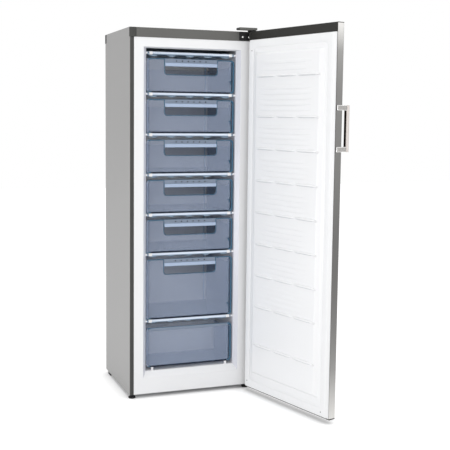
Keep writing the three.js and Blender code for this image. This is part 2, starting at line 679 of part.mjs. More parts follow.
function insulationBody() {
  const front = LINER_WALL + GAP;
  const machineFront = MACHINE_FRONT - GAP;
  const machineTop = MACHINE_TOP + SHEET + GAP;
  const back = BACK_PANEL - SHEET - GAP;
  const trimBottom = REAR_TRIM_BOTTOM - GAP;
  const trimFront = REAR_TRIM_FRONT - GAP;
  const top = CABINET_TOP - SHEET - GAP;
  const profile = outline([
    [front, BASE_TOP + GAP],
    [machineFront, BASE_TOP + GAP],
    [machineFront, machineTop],
    [back, machineTop],
    [back, trimBottom],
    [trimFront, trimBottom],
    [trimFront, top],
    [FASCIA_DEPTH + GAP, top],
    [FASCIA_DEPTH + GAP, FASCIA_BOTTOM - GAP],
    [front, FASCIA_BOTTOM - GAP],
  ]);
  const pockets = [-1, 1].map((side) =>
    spindleHole(side, BASE_TOP - OUT, FOOT_NECK + SPINDLE_LENGTH + OUT),
  );
  const core = slabX(profile, -INNER_SIDE, INNER_SIDE);
  return cut(core, insideSpace(LINER_WALL + GAP), ...pockets, ...pipeHoles());
}

// Where the two evaporator pipes pass through the rear wall.
const pipeHoles = () =>
  [feedRoute(), suctionRoute()].map((route) => pipe(route, SHELF_TUBE + 4 * GAP, PIPE_BEND, 3));

// ---------------------------------------------------------------- shelves and drawers

// One evaporator shelf: a tube folded front to back, with rods across it.
function shelf(level) {
  const z = level - TUBE_DROP;
  const end = RISER_Y - SHELF_TUBE / 2 - GAP;
  const corners = [[-SHELF_HALF, end, z]];
  for (let pass = 0; pass < SHELF_PASSES; pass += 1) {
    const x = -SHELF_HALF + pass * SHELF_TUBE_PITCH;
    const [first, second] = pass % 2 === 0 ? [SHELF_BACK, SHELF_FRONT] : [SHELF_FRONT, SHELF_BACK];
    if (pass > 0) corners.push([x, first, z]);
    if (pass < SHELF_PASSES - 1) corners.push([x, second, z]);
  }
  corners.push([SHELF_HALF, end, z]);
  const tube = pipe(corners, SHELF_TUBE, SHELF_TUBE_PITCH / 2, 2);
  const half = SHELF_HALF + ROD_OVERHANG;
  const rods = Array.from({ length: ROD_COUNT }, (_, index) => {
    const y = ROD_FRONT + ((ROD_BACK - ROD_FRONT) * index) / (ROD_COUNT - 1);
    return block(-half, half, y - ROD / 2, y + ROD / 2, level - ROD, level);
  });
  return join(tube, ...rods);
}

function shelfBar(level) {
  const half = INSIDE - LEDGE_WIDTH - GAP;
  const back = ROD_FRONT - ROD / 2 - GAP;
  const profile = outline([
    [BAR_FRONT, level - BAR_HEIGHT, BAR_CORNER],
    [back, level - BAR_HEIGHT],
    [back, level],
    [BAR_FRONT, level, BAR_CORNER],
  ]);
  return slabX(profile, -half, half);
}

// An open box with rounded corners. The front is taller than the sides and ends above the floor.
function drawerBox(floor, top, depth) {
  const half = DRAWER_HALF;
  const back = DRAWER_FRONT + depth;
  const sideTop = top - DRAWER_SIDE_DROP;
  const slopeStart = DRAWER_FRONT + DRAWER_SLOPE_FRONT;
  const outer = meet(
    slabY(rectangle(-half, half, floor, top, DRAWER_CORNER, DRAWER_RIM), DRAWER_FRONT, back),
    slabZ(rectangle(-half, half, DRAWER_FRONT, back, DRAWER_CORNER), floor, top),
    slabX(
      outline([
        [DRAWER_FRONT, floor + DRAWER_TOE],
        [DRAWER_FRONT + DRAWER_TOE_RUN, floor],
        [back, floor],
        [back, sideTop],
        [slopeStart + DRAWER_SLOPE_RUN, sideTop],
        [slopeStart, top],
        [DRAWER_FRONT, top],
      ]),
      -half,
      half,
    ),
  );
  const wall = DRAWER_WALL;
  const open = top + OUT;
  const inner = meet(
    slabY(
      rectangle(-half + wall, half - wall, floor + wall, open, DRAWER_CORNER - wall, 0),
      DRAWER_FRONT,
      back,
    ),
    slabZ(
      rectangle(-half + wall, half - wall, DRAWER_FRONT + wall, back - wall, DRAWER_CORNER - wall),
      floor,
      open,
    ),
    slabX(
      outline([
        [DRAWER_FRONT, floor + DRAWER_TOE + 2 * wall],
        [DRAWER_FRONT + DRAWER_TOE_RUN + wall, floor + wall],
        [back, floor + wall],
        [back, open],
        [DRAWER_FRONT, open],
      ]),
      -half,
      half,
    ),
  );
  return cut(outer, inner);
}

// A drawer whose front has a grip: a strip, a rounded lip under it and a hand hole.
function gripDrawer(floor, top) {
  const half = GRIP_WIDTH / 2;
  const lipTop = top - GRIP_STRIP;
  const lipBottom = lipTop - GRIP_LIP;
  const lip = slabX(
    outline([
      [DRAWER_FRONT - GRIP_LIP_PROUD, lipBottom, GRIP_LIP_PROUD / 2],
      [DRAWER_FRONT + DRAWER_WALL, lipBottom],
      [DRAWER_FRONT + DRAWER_WALL, lipTop],
      [DRAWER_FRONT - GRIP_LIP_PROUD, lipTop, GRIP_LIP_PROUD / 2],
    ]),
    -half,
    half,
  );
  const hole = slabY(
    rectangle(-half, half, lipBottom - GRIP_HOLE, lipBottom, GRIP_CORNER, 0),
    DRAWER_FRONT - OUT,
    DRAWER_FRONT + DRAWER_WALL + OUT,
  );
  return join(cut(drawerBox(floor, top, DRAWER_DEPTH), hole), lip);
}

// ---------------------------------------------------------------- door

function doorSkin() {
  const inner = DOOR_CORNER - SHEET;
  const right = DOOR_WIDTH - SHEET;
  const front = DOOR_THICKNESS - SHEET;
  const profile = outline([
    [0, 0],
    [0, DOOR_THICKNESS, DOOR_CORNER],
    [DOOR_WIDTH, DOOR_THICKNESS, DOOR_CORNER],
    [DOOR_WIDTH, 0],
    [DOOR_WIDTH - DOOR_FLANGE, 0],
    [DOOR_WIDTH - DOOR_FLANGE, SHEET],
    [right, SHEET],
    [right, front, inner],
    [SHEET, front, inner],
    [SHEET, SHEET],
    [DOOR_FLANGE, SHEET],
    [DOOR_FLANGE, 0],
  ]);
  const skin = slabZ(profile, SILL_TOP + GAP, LID_BOTTOM - GAP);
  // The turned-in flanges end under the upper cap, which sits inside the skin.
  const capSpace = block(SHEET, right, -OUT, SHEET + GAP, CAP_BOTTOM - GAP, DOOR_TOP);
  return cut(skin, capSpace);
}

// The raised middle of the door liner, or the same shrunk inwards by a wall.
function plug(by) {
  const face = [PLUG_SIDE, DOOR_WIDTH - PLUG_SIDE, PLUG_FOOT, PLUG_HEAD];
  const root = [
    PLUG_SIDE - PLUG_SLOPE_SIDE,
    DOOR_WIDTH - PLUG_SIDE + PLUG_SLOPE_SIDE,
    PLUG_FOOT - PLUG_SLOPE_END,
    PLUG_HEAD + PLUG_SLOPE_END,
  ];
  return taper(grown(face, -by), -PLUG_DEPTH + by, grown(root, -by), -GAP + OUT * Math.sign(by));
}

function doorLiner() {
  const [low, high] = [SILL_TOP + GAP, CAP_BOTTOM - GAP];
  const edge = DOOR_LINER_EDGE;
  const sheet = block(edge, DOOR_WIDTH - edge, -GAP - DOOR_LINER_WALL, -GAP, low, high);
  const shell = cut(join(sheet, plug(0)), plug(DOOR_LINER_WALL));
  const first = PLUG_SIDE + RAIL_MARGIN;
  const pitch = (DOOR_WIDTH - 2 * first + RAIL_BREAK) / RAIL_SEGMENTS;
  const rails = RAIL_LEVELS.flatMap((level) =>
    Array.from({ length: RAIL_SEGMENTS }, (_, index) => {
      const u = first + index * pitch;
      const root = [u, u + pitch - RAIL_BREAK, level - RAIL_HEIGHT / 2, level + RAIL_HEIGHT / 2];
      const sunk = -PLUG_DEPTH + DOOR_LINER_WALL / 2;
      return taper(grown(root, -RAIL_SLOPE), -PLUG_DEPTH - RAIL_PROUD, root, sunk);
    }),
  );
  return join(shell, ...rails);
}

function doorInsulation() {
  const edge = SHEET + GAP;
  const front = DOOR_THICKNESS - SHEET - GAP;
  const plan = rectangle(edge, DOOR_WIDTH - edge, edge, front, 0, DOOR_CORNER - edge);
  const core = slabZ(plan, SILL_TOP + GAP, CAP_BOTTOM - GAP);
  const insidePlug = plug(DOOR_LINER_WALL + GAP);
  const bridge = block(PLUG_SIDE, DOOR_WIDTH - PLUG_SIDE, 0, edge + OUT, PLUG_FOOT, PLUG_HEAD);
  const insideCap = block(
    BUSH_COLLAR + HINGE_SIDE + GAP,
    DOOR_WIDTH - edge - CAP_WALL - GAP,
    CAP_WALL + GAP,
    front - CAP_WALL - GAP,
    CAP_BOTTOM - OUT,
    LID_BOTTOM - GAP,
  );
  const bossSpace = rod(BUSH_COLLAR + 2 * GAP, DOOR_BOTTOM, BUSH_TOP + GAP, HINGE_SIDE, HINGE_FRONT);
  return cut(join(core, insidePlug, bridge, insideCap), bossSpace);
}

function doorGasket() {
  const low = SILL_TOP + DOOR_LINER_EDGE;
  const high = CAP_BOTTOM - DOOR_LINER_EDGE;
  const ring = [GASKET_MARGIN, DOOR_WIDTH - GASKET_MARGIN, low, high];
  const back = -(GAP + DOOR_LINER_WALL + GAP);
  const front = -DOOR_GAP + GASKET_CLEAR;
  const outer = block(ring[0], ring[1], front, back, ring[2], ring[3]);
  const [u0, u1, z0, z1] = grown(ring, -GASKET_WIDTH);
  return cut(outer, block(u0, u1, front - OUT, back + OUT, z0, z1));
}

// A hollow cap inside the steel, under a lid as wide as the door.
function doorTopCap() {
  const edge = SHEET + GAP;
  const front = DOOR_THICKNESS - edge;
  const plan = rectangle(edge, DOOR_WIDTH - edge, 0, front, 0, DOOR_CORNER - edge);
  const lidPlan = rectangle(0, DOOR_WIDTH, 0, DOOR_THICKNESS, 0, DOOR_CORNER);
  const shell = join(slabZ(plan, CAP_BOTTOM, DOOR_TOP), slabZ(lidPlan, LID_BOTTOM, DOOR_TOP));
  const hollow = block(
    BUSH_COLLAR + HINGE_SIDE,
    DOOR_WIDTH - edge - CAP_WALL,
    CAP_WALL,
    front - CAP_WALL,
    CAP_BOTTOM - OUT,
    LID_BOTTOM,
  );
  const bore = rod(BUSH + 2 * GAP, DOOR_TOP - BUSH_HEIGHT, DOOR_TOP + OUT, HINGE_SIDE, HINGE_FRONT);
  return cut(shell, hollow, bore);
}

function doorBottomCap() {
  const plate = slabZ(rectangle(0, DOOR_WIDTH, 0, DOOR_THICKNESS, 0, DOOR_CORNER), DOOR_BOTTOM, SILL_TOP);
  const boss = rod(BUSH_COLLAR, DOOR_BOTTOM, BUSH_TOP, HINGE_SIDE, HINGE_FRONT);
  const bore = rod(BUSH + 2 * GAP, DOOR_BOTTOM - OUT, BUSH_TOP + OUT, HINGE_SIDE, HINGE_FRONT);
  return cut(join(plate, boss), bore);
}

function handleBar() {
  const plan = outline([
    [HANDLE_U - HANDLE_WIDTH, HANDLE_FRONT, HANDLE_CORNER],
    [HANDLE_U, HANDLE_FRONT, HANDLE_CORNER],
    [HANDLE_U, HANDLE_FRONT + HANDLE_DEPTH, HANDLE_CORNER],
    [HANDLE_U - HANDLE_WIDTH, HANDLE_FRONT + HANDLE_DEPTH, HANDLE_CORNER],
  ]);
  return slabZ(plan, HANDLE_BOTTOM, HANDLE_BOTTOM + HANDLE_LENGTH);
}

// Screwed to the door's edge, it reaches round the front corner to the bar.
function handleBracket(bottom) {
  const edge = DOOR_WIDTH + GAP;
  const neckFront = HANDLE_FRONT - GAP;
  const plan = outline([
    [edge, BRACKET_EDGE],
    [edge + BRACKET_PLATE, BRACKET_EDGE],
    [edge + BRACKET_PLATE, neckFront, BRACKET_PLATE],
    [HANDLE_U - BRACKET_NECK, neckFront],
    [HANDLE_U - BRACKET_NECK, DOOR_THICKNESS + GAP],
    [edge, DOOR_THICKNESS + GAP],
  ]);
  return slabZ(plan, bottom, bottom + BRACKET_HEIGHT);
}

// ---------------------------------------------------------------- hinges

const screwPlaces = () => SCREW_PLACES.map((across) => [HINGE_LEFT + across, CABINET_TOP - SCREW_BELOW_TOP]);

const screwHoles = () =>
  screwPlaces().map(([x, z]) =>
    rodY(SCREW_SHANK + 2 * GAP, HINGE_LEG_FRONT - OUT, FASCIA_DEPTH, x, z, 12),
  );

// A leg on the front and, over the cabinet's top and the door, a plate that carries the pin.
function hingeUpperBracket() {
  const right = HINGE_LEFT + HINGE_WIDTH;
  const low = CABINET_TOP - HINGE_LEG;
  const leg = block(HINGE_LEFT, right, HINGE_LEG_FRONT, HINGE_LEG_BACK, low, CABINET_TOP);
  const neck = block(right - HINGE_NECK, right, HINGE_LEG_FRONT, HINGE_LEG_BACK, low, HINGE_TOP);
  const left = HINGE_RIGHT - HINGE_PLATE_WIDTH;
  const plate = block(left, HINGE_RIGHT, HINGE_FRONT_EDGE, HINGE_LEG_BACK, HINGE_BOTTOM, HINGE_TOP);
  const pin = rod(PIN, DOOR_TOP - BUSH_HEIGHT + OUT, HINGE_TOP, AXIS_X, AXIS_Y);
  return join(cut(join(leg, neck, plate), ...screwHoles()), pin);
}

function hingeScrew([x, z]) {
  const seat = HINGE_LEG_FRONT - GAP;
  const head = rodY(SCREW_HEAD, seat - SCREW_HEAD_HEIGHT, seat, x, z, 12);
  const shank = rodY(SCREW_SHANK, seat - GAP, seat + SCREW_LENGTH, x, z, 12);
  return join(head, shank);
}

// Slips over the raised plate from the front, with a slot that lets the pin in.
function hingeUpperCover() {
  const reach = COVER_WALL + GAP;
  const [left, right] = [HINGE_RIGHT - HINGE_PLATE_WIDTH - reach, HINGE_RIGHT + reach];
  const [bottom, top] = [HINGE_BOTTOM - COVER_BELOW, HINGE_TOP + COVER_ABOVE];
  const [front, back] = [HINGE_FRONT_EDGE - reach, HINGE_LEG_FRONT - GAP];
  const ends = (by) =>
    outline([
      [left + by, bottom + by, COVER_ROUND - by],
      [right - by, bottom + by],
      [right - by, top - by],
      [left + by, top - by, COVER_ROUND - by],
    ]);
  const hollow = slabY(ends(COVER_WALL), front + COVER_WALL, back + OUT);
  const slotHalf = PIN / 2 + GAP;
  const slotTop = bottom + COVER_WALL + GAP;
  const slot = block(AXIS_X - slotHalf, AXIS_X + slotHalf, AXIS_Y, back + OUT, bottom - OUT, slotTop);
  const pinHole = rod(2 * slotHalf, bottom - OUT, slotTop, AXIS_X, AXIS_Y);
  return cut(slabY(ends(0), front, back), hollow, slot, pinHole);
}

// A plate under the base, held by the foot's spindle, with a tongue for the pin.
function hingeLowerBracket() {
  const top = FOOT_HEIGHT - GAP;
  const bottom = top - HINGE_PLATE;
  const plate = block(INNER_SIDE - HINGE_FOOT_WIDTH, INNER_SIDE, 0, HINGE_FOOT_LENGTH, bottom, top);
  const [left, right] = [AXIS_X - HINGE_LUG / 2, AXIS_X + HINGE_LUG / 2];
  const tongue = block(left, right, HINGE_FRONT_EDGE, OUT, bottom, top);
  const pin = rod(PIN, bottom, BUSH_TOP, AXIS_X, AXIS_Y);
  return join(cut(join(plate, tongue), spindleHole(1, 0, FOOT_HEIGHT)), pin);
}

// Plastic sleeves in the door; the lower one has a collar that carries the door's weight.
function hingeBushUpper() {
  const sleeve = rod(BUSH, DOOR_TOP - BUSH_HEIGHT + GAP, DOOR_TOP, HINGE_SIDE, HINGE_FRONT);
  return cut(sleeve, pinBore(DOOR_TOP - BUSH_HEIGHT, DOOR_TOP + OUT));
}

function hingeBushLower() {
  const sleeve = rod(BUSH, FOOT_HEIGHT, BUSH_TOP, HINGE_SIDE, HINGE_FRONT);
  const collar = rod(BUSH_COLLAR, FOOT_HEIGHT, DOOR_BOTTOM - GAP, HINGE_SIDE, HINGE_FRONT);
  return cut(join(sleeve, collar), pinBore(FOOT_HEIGHT - OUT, BUSH_TOP + OUT));
}

const pinBore = (z0, z1) => rod(PIN + 2 * PIN_CLEAR, z0, z1, HINGE_SIDE, HINGE_FRONT);

// ---------------------------------------------------------------- feet

function frontFoot(side) {
  const radius = FOOT_DIAMETER / 2;
  const profile = [
    [0, 0],
    [radius - FOOT_CHAMFER, 0],
    [radius, FOOT_CHAMFER],
    [radius, FOOT_PAD],
    [SPINDLE, FOOT_NECK],
    [SPINDLE / 2, FOOT_NECK],
    [SPINDLE / 2, FOOT_NECK + SPINDLE_LENGTH],
    [0, FOOT_NECK + SPINDLE_LENGTH],
  ];
  return turned(profile, 20).translate(side * (SIDE - FOOT_SIDE), FOOT_FRONT, 0);
}

function rearFoot(side) {
  const back = BACK - FOOT_FRONT;
  const front = back - REAR_FOOT_LENGTH;
  const top = FOOT_HEIGHT - GAP;
  const profile = outline([
    [front + PANEL_CORNER, 0],
    [back - PANEL_CORNER, 0],
    [back, top],
    [front, top],
  ]);
  const middle = side * (SIDE - FOOT_SIDE);
  return slabX(profile, middle - REAR_FOOT_WIDTH / 2, middle + REAR_FOOT_WIDTH / 2);
}

// ---------------------------------------------------------------- refrigerating machine

function compressor() {
  const bottom = COMPRESSOR_BOTTOM;
  const radius = COMPRESSOR_WIDTH / 2;
  const wall = COMPRESSOR_CURVE.map(([out, up]) => [out * radius, bottom + up * COMPRESSOR_HEIGHT]);
  const profile = [[0, bottom], ...wall, [0, bottom + COMPRESSOR_HEIGHT]];
  const shell = turned(profile, 24).scale(1, COMPRESSOR_DEPTH / COMPRESSOR_WIDTH, 1);
  const inset = COMPRESSOR_BUFFER / 2;
  const [halfX, halfY] = [radius - inset / 2, COMPRESSOR_DEPTH / 2 - inset];
  const plate = block(-halfX, halfX, -halfY, halfY, bottom, bottom + COMPRESSOR_PLATE);
  const plateMiddle = bottom + COMPRESSOR_PLATE / 2;
  const feet = [[-1, -1], [-1, 1], [1, -1], [1, 1]].map(([x, y]) =>
    rod(COMPRESSOR_BUFFER, BASE_TOP + GAP, plateMiddle, x * (halfX - inset), y * (halfY - inset), 12),
  );
  return join(shell, plate, ...feet).translate(-COMPRESSOR_SIDE, COMPRESSOR_Y, 0);
}

// The box over the compressor's terminals, with the collar where the mains lead enters.
function relayCover() {
  const left = -COMPRESSOR_SIDE + COMPRESSOR_WIDTH / 2 + GAP;
  const middle = left + RELAY_WIDTH / 2;
  const front = COMPRESSOR_Y - RELAY_DEPTH / 2;
  const back = front + RELAY_DEPTH;
  const box = block(left, left + RELAY_WIDTH, front, back, RELAY_BOTTOM, RELAY_BOTTOM + RELAY_HEIGHT);
  const end = back + INLET_LENGTH;
  const collar = rodY(INLET_COLLAR, back - OUT, end, middle, LEAD_INLET);
  const entry = rodY(INLET_BORE, end - INLET_DEPTH, end + OUT, middle, LEAD_INLET, 12);
  return cut(join(box, collar), entry);
}

// A tube folded from side to side behind the back panel, on two upright rails.
function condenser() {
  const corners = [[-CONDENSER_HALF - CONDENSER_TUBE, CONDENSER_Y, CONDENSER_TOP]];
  for (let pass = 0; pass < CONDENSER_PASSES; pass += 1) {
    const z = CONDENSER_TOP - pass * CONDENSER_PITCH;
    const toRight = pass % 2 === 0 ? 1 : -1;
    if (pass > 0) corners.push([-toRight * CONDENSER_HALF, CONDENSER_Y, z]);
    const last = pass === CONDENSER_PASSES - 1;
    corners.push([last ? DRIER_X : toRight * CONDENSER_HALF, CONDENSER_Y, z]);
  }
  corners.push([DRIER_X, CONDENSER_Y, DRIER_BOTTOM + DRIER_LENGTH + GAP]);
  const tube = pipe(corners, CONDENSER_TUBE, CONDENSER_PITCH / 2, 2);
  const railBack = CONDENSER_Y - CONDENSER_TUBE / 2 + CONDENSER_RAIL_GRIP;
  const railFront = railBack - CONDENSER_RAIL_DEPTH;
  const rails = [-1, 1].flatMap((side) => {
    const middle = (side * CONDENSER_RAIL_SPREAD) / 2;
    const x = [middle - CONDENSER_RAIL / 2, middle + CONDENSER_RAIL / 2];
    const low = CONDENSER_BOTTOM - CONDENSER_PITCH / 3;
    const high = CONDENSER_TOP + CONDENSER_PITCH / 3;
    const feet = [low, high - CONDENSER_RAIL].map((z) =>
      block(...x, BACK_PANEL + GAP, railBack, z, z + CONDENSER_RAIL),
    );
    return [block(...x, railFront, railBack, low, high), ...feet];
  });
  return join(tube, ...rails);
}

function filterDrier() {
  const neck = PIPE + 2 * DRIER_WALL;
  const body = turned(
    [
      [0, 0],
      [neck / 2, 0],
      [DRIER / 2, DRIER / 2],
      [DRIER / 2, DRIER_LENGTH - DRIER / 2],
      [neck / 2, DRIER_LENGTH],
      [0, DRIER_LENGTH],
    ],
    16,
  );
  return body.translate(DRIER_X, CONDENSER_Y, DRIER_BOTTOM);
}

// From the drier up through the rear wall to the right end of every shelf.
const feedRoute = () => [
  [DRIER_X, CONDENSER_Y, DRIER_BOTTOM - GAP],
  [DRIER_X, CONDENSER_Y, DRIER_BOTTOM - DRIER_LOOP],
  [SHELF_HALF, CONDENSER_Y, DRIER_BOTTOM - DRIER_LOOP],
  [SHELF_HALF, CONDENSER_Y, RISER_EXIT],
  [SHELF_HALF, RISER_Y, RISER_EXIT],
  [SHELF_HALF, RISER_Y, SHELF_LEVELS[0] - TUBE_DROP + RISER_ABOVE],
];

const feedPipe = () => join(pipe(feedRoute(), SHELF_TUBE, PIPE_BEND, 3), riserFoot(1));

// From the left end of every shelf down through the rear wall to the compressor.
const suctionRoute = () => [
  [-SHELF_HALF, RISER_Y, SHELF_LEVELS[0] - TUBE_DROP + RISER_ABOVE],
  [-SHELF_HALF, RISER_Y, RISER_EXIT],
  [-SHELF_HALF, CONDENSER_Y, RISER_EXIT],
  [-SHELF_HALF, CONDENSER_Y, SUCTION_LEVEL],
  [-SHELF_HALF, COMPRESSOR_Y, SUCTION_LEVEL],
  [-COMPRESSOR_SIDE - COMPRESSOR_WIDTH / 2 - GAP, COMPRESSOR_Y, SUCTION_LEVEL],
];

const suctionPipe = () => join(pipe(suctionRoute(), SHELF_TUBE, PIPE_BEND, 3), riserFoot(-1));

// The branch of a riser that goes down to the lowest shelf.
function riserFoot(side) {
  const lowest = SHELF_LEVELS[SHELF_LEVELS.length - 1] - TUBE_DROP - SHELF_TUBE / 2;
  return rod(SHELF_TUBE, lowest, RISER_EXIT + PIPE_BEND, side * SHELF_HALF, RISER_Y, TUBE_SIDES);
}

function dischargePipe() {
  const route = [
    [-COMPRESSOR_SIDE, COMPRESSOR_Y + COMPRESSOR_DEPTH / 2 + GAP, DISCHARGE_LEVEL],
    [-COMPRESSOR_SIDE, CONDENSER_Y, DISCHARGE_LEVEL],
    [DISCHARGE_X, CONDENSER_Y, DISCHARGE_LEVEL],
    [DISCHARGE_X, CONDENSER_Y, CONDENSER_TOP],
    [-CONDENSER_HALF - CONDENSER_TUBE - GAP, CONDENSER_Y, CONDENSER_TOP],
  ];
  return pipe(route, PIPE, PIPE_BEND, 3);
}

// ---------------------------------------------------------------- assembly

add(cabinet, 'side_panel_left', sidePanel(-1), GREY_PAINT);
add(cabinet, 'side_panel_right', sidePanel(1), GREY_PAINT);
add(cabinet, 'top_panel', topPanel(), GREY_PAINT);
add(cabinet, 'back_panel', backPanel(), GREY_PAINT);
add(cabinet, 'base_plate', basePlate(), ZINC);
add(cabinet, 'machine_housing', machineHousing(), ZINC);
add(cabinet, 'fascia_strip', fasciaStrip(), FASCIA_GREY);
add(cabinet, 'fascia_end_cap', fasciaEndCap(), FASCIA_GREY);
add(cabinet, 'rear_top_trim', rearTopTrim(), BLACK_PLASTIC);
add(cabinet, 'thermostat', thermostat(), BLACK_PLASTIC);
add(cabinet, 'inner_liner', innerLiner(), WHITE_LINER);
add(cabinet, 'insulation_body', insulationBody(), FOAM);

SHELF_LEVELS.forEach((level, index) => {
  add(cabinet, `shelf_${index + 1}`, shelf(level), WHITE_WIRE);
  add(cabinet, `shelf_bar_${index + 1}`, shelfBar(level), PALE_BAR);
});

SHELF_LEVELS.slice(1).forEach((level, index) => {
  const top = SHELF_LEVELS[index] - BAR_HEIGHT - DRAWER_GAP_ABOVE;
  add(cabinet, `drawer_${index + 1}`, gripDrawer(level + GAP, top), CLEAR_BLUE);
});
const lastShelf = SHELF_LEVELS[SHELF_LEVELS.length - 1];
const bottomDrawerTop = lastShelf - BAR_HEIGHT - BOTTOM_DRAWER_GAP_ABOVE;
const bottomDrawer = drawerBox(BOTTOM_DRAWER_FLOOR, bottomDrawerTop, BOTTOM_DRAWER_DEPTH);
add(cabinet, `drawer_${SHELF_LEVELS.length}`, bottomDrawer, CLEAR_BLUE);

add(cabinet, 'hinge_upper_bracket', hingeUpperBracket(), BLACK_STEEL);
add(cabinet, 'hinge_upper_cover', hingeUpperCover(), FASCIA_GREY);
screwPlaces().forEach((place, index) => add(cabinet, `hinge_screw_${index + 1}`, hingeScrew(place), ZINC));
add(cabinet, 'hinge_lower_bracket', hingeLowerBracket(), BLACK_STEEL);
add(cabinet, 'front_foot_left', frontFoot(-1), BLACK_PLASTIC);
add(cabinet, 'front_foot_right', frontFoot(1), BLACK_PLASTIC);
add(cabinet, 'rear_foot_left', rearFoot(-1), BLACK_PLASTIC);
add(cabinet, 'rear_foot_right', rearFoot(1), BLACK_PLASTIC);

add(cabinet, 'compressor', compressor(), BLACK_STEEL);
add(cabinet, 'relay_cover', relayCover(), BLACK_PLASTIC);
add(cabinet, 'condenser', condenser(), BLACK_STEEL);
add(cabinet, 'filter_drier', filterDrier(), COPPER);
add(cabinet, 'feed_pipe', feedPipe(), COPPER);
add(cabinet, 'suction_pipe', suctionPipe(), COPPER);
add(cabinet, 'discharge_pipe', dischargePipe(), COPPER);

add(door, 'door_skin', doorSkin(), BRUSHED_STEEL);
add(door, 'door_insulation', doorInsulation(), FOAM);
add(door, 'door_liner', doorLiner(), WHITE_LINER);
add(door, 'door_gasket', doorGasket(), SOFT_WHITE);
add(door, 'door_top_cap', doorTopCap(), CAP_GREY);
add(door, 'door_bottom_cap', doorBottomCap(), CAP_GREY);
add(door, 'hinge_bush_upper', hingeBushUpper(), SOFT_WHITE);
add(door, 'hinge_bush_lower', hingeBushLower(), SOFT_WHITE);
add(door, 'handle_bar', handleBar(), BRUSHED_STEEL);
const upperBracket = HANDLE_BOTTOM + HANDLE_LENGTH - BRACKET_HEIGHT;
add(door, 'handle_bracket_upper', handleBracket(upperBracket), POLISHED_STEEL);
add(door, 'handle_bracket_lower', handleBracket(HANDLE_BOTTOM), POLISHED_STEEL);

// The origin is on the floor, in the middle of the space that the freezer takes with its door open.
freezer.updateMatrixWorld(true);
const extent = new THREE.Box3().setFromObject(freezer, true);
const middle = extent.getCenter(new THREE.Vector3());
freezer.position.set(-middle.x, -middle.y, -extent.min.z);

export default freezer;
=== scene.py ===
# %% [markdown]
# # Dressing a tall freezer with its door open
#
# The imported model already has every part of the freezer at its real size. This lesson gives
# those parts their looks: it adds the small forms that a plain solid leaves out, makes one
# material for each finish, and sets up a white studio with the camera where the photographer
# stood.

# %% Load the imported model
import json
import math

import bmesh
import bpy
from mathutils import Matrix, Vector


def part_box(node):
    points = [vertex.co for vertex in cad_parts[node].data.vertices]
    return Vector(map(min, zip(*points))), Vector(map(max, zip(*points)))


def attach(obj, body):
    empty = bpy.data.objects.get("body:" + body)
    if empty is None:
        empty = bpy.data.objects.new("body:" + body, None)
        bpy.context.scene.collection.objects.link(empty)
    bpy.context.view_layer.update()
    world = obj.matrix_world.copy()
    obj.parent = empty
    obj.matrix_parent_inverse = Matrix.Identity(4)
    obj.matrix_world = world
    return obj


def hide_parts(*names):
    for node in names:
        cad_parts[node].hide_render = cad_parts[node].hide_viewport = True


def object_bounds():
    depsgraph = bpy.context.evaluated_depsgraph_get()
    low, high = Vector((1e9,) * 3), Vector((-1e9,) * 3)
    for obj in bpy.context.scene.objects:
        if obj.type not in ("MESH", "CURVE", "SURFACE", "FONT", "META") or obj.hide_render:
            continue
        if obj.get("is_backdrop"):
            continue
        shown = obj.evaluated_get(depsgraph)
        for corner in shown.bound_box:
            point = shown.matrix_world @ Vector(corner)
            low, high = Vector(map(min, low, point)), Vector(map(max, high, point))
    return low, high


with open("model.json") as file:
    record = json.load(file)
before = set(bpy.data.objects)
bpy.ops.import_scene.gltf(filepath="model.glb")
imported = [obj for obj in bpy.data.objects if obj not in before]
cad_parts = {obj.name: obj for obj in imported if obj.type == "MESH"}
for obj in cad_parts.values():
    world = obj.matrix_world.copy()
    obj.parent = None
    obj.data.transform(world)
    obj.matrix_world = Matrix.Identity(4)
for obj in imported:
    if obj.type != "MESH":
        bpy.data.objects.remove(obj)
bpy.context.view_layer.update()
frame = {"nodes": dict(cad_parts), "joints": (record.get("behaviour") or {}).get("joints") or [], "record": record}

# %% [markdown]
# ## Two rulers
#
# A freezer is two boxes: the cabinet, and the door that turns on it. It is easiest to think of
# each in its own millimetres, so there are two rulers here. `on_cabinet` counts across from the
# cabinet's middle, back from its front edge and up from the floor. `on_door` counts from the
# hinge side towards the handle, and outwards from the door's inner face. Both turn those numbers
# into metres in the frame that all the parts share.

# %% Rulers for the cabinet and the door
MM = 0.001
DOOR_WIDTH = 600
DOOR_OPEN = 105
HINGE_FROM_SIDE = 12
HINGE_FROM_INNER_FACE = 22
left_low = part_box("side_panel_left")[0]
right_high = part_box("side_panel_right")[1]
CABINET_MIDDLE = (left_low.x + right_high.x) / 2
CABINET_FRONT = left_low.y

hinge = next(joint for joint in frame["joints"] if joint["name"] == "door_hinge")
HINGE_AXIS = Vector((hinge["pos_m"][0], hinge["pos_m"][1], 0))
door_turn = Matrix.Rotation(math.radians(180 + DOOR_OPEN), 4, "Z")
along_door = door_turn @ Vector((1, 0, 0))
out_of_door = door_turn @ Vector((0, 1, 0))


def on_cabinet(x, y, z):
    return Vector((CABINET_MIDDLE + x * MM, CABINET_FRONT + y * MM, z * MM))


def on_door(u, v, z):
    arm = Vector(((u - HINGE_FROM_SIDE) * MM, (v - HINGE_FROM_INNER_FACE) * MM, z * MM))
    return HINGE_AXIS + door_turn @ arm


print("door's free corner", [round(c, 3) for c in on_door(DOOR_WIDTH, 0, 0)])

# %% [markdown]
# ## The photographer's place
#
# A product photographer stands well back with a long lens, so that upright edges stay nearly
# parallel. The edges of the cabinet and of the door lead back to one place, about four metres in
# front, at the height of a person's chest. The camera is built from that place, from the way it
# looks, and from a small shift, as when a photograph has been cropped a little off its centre.

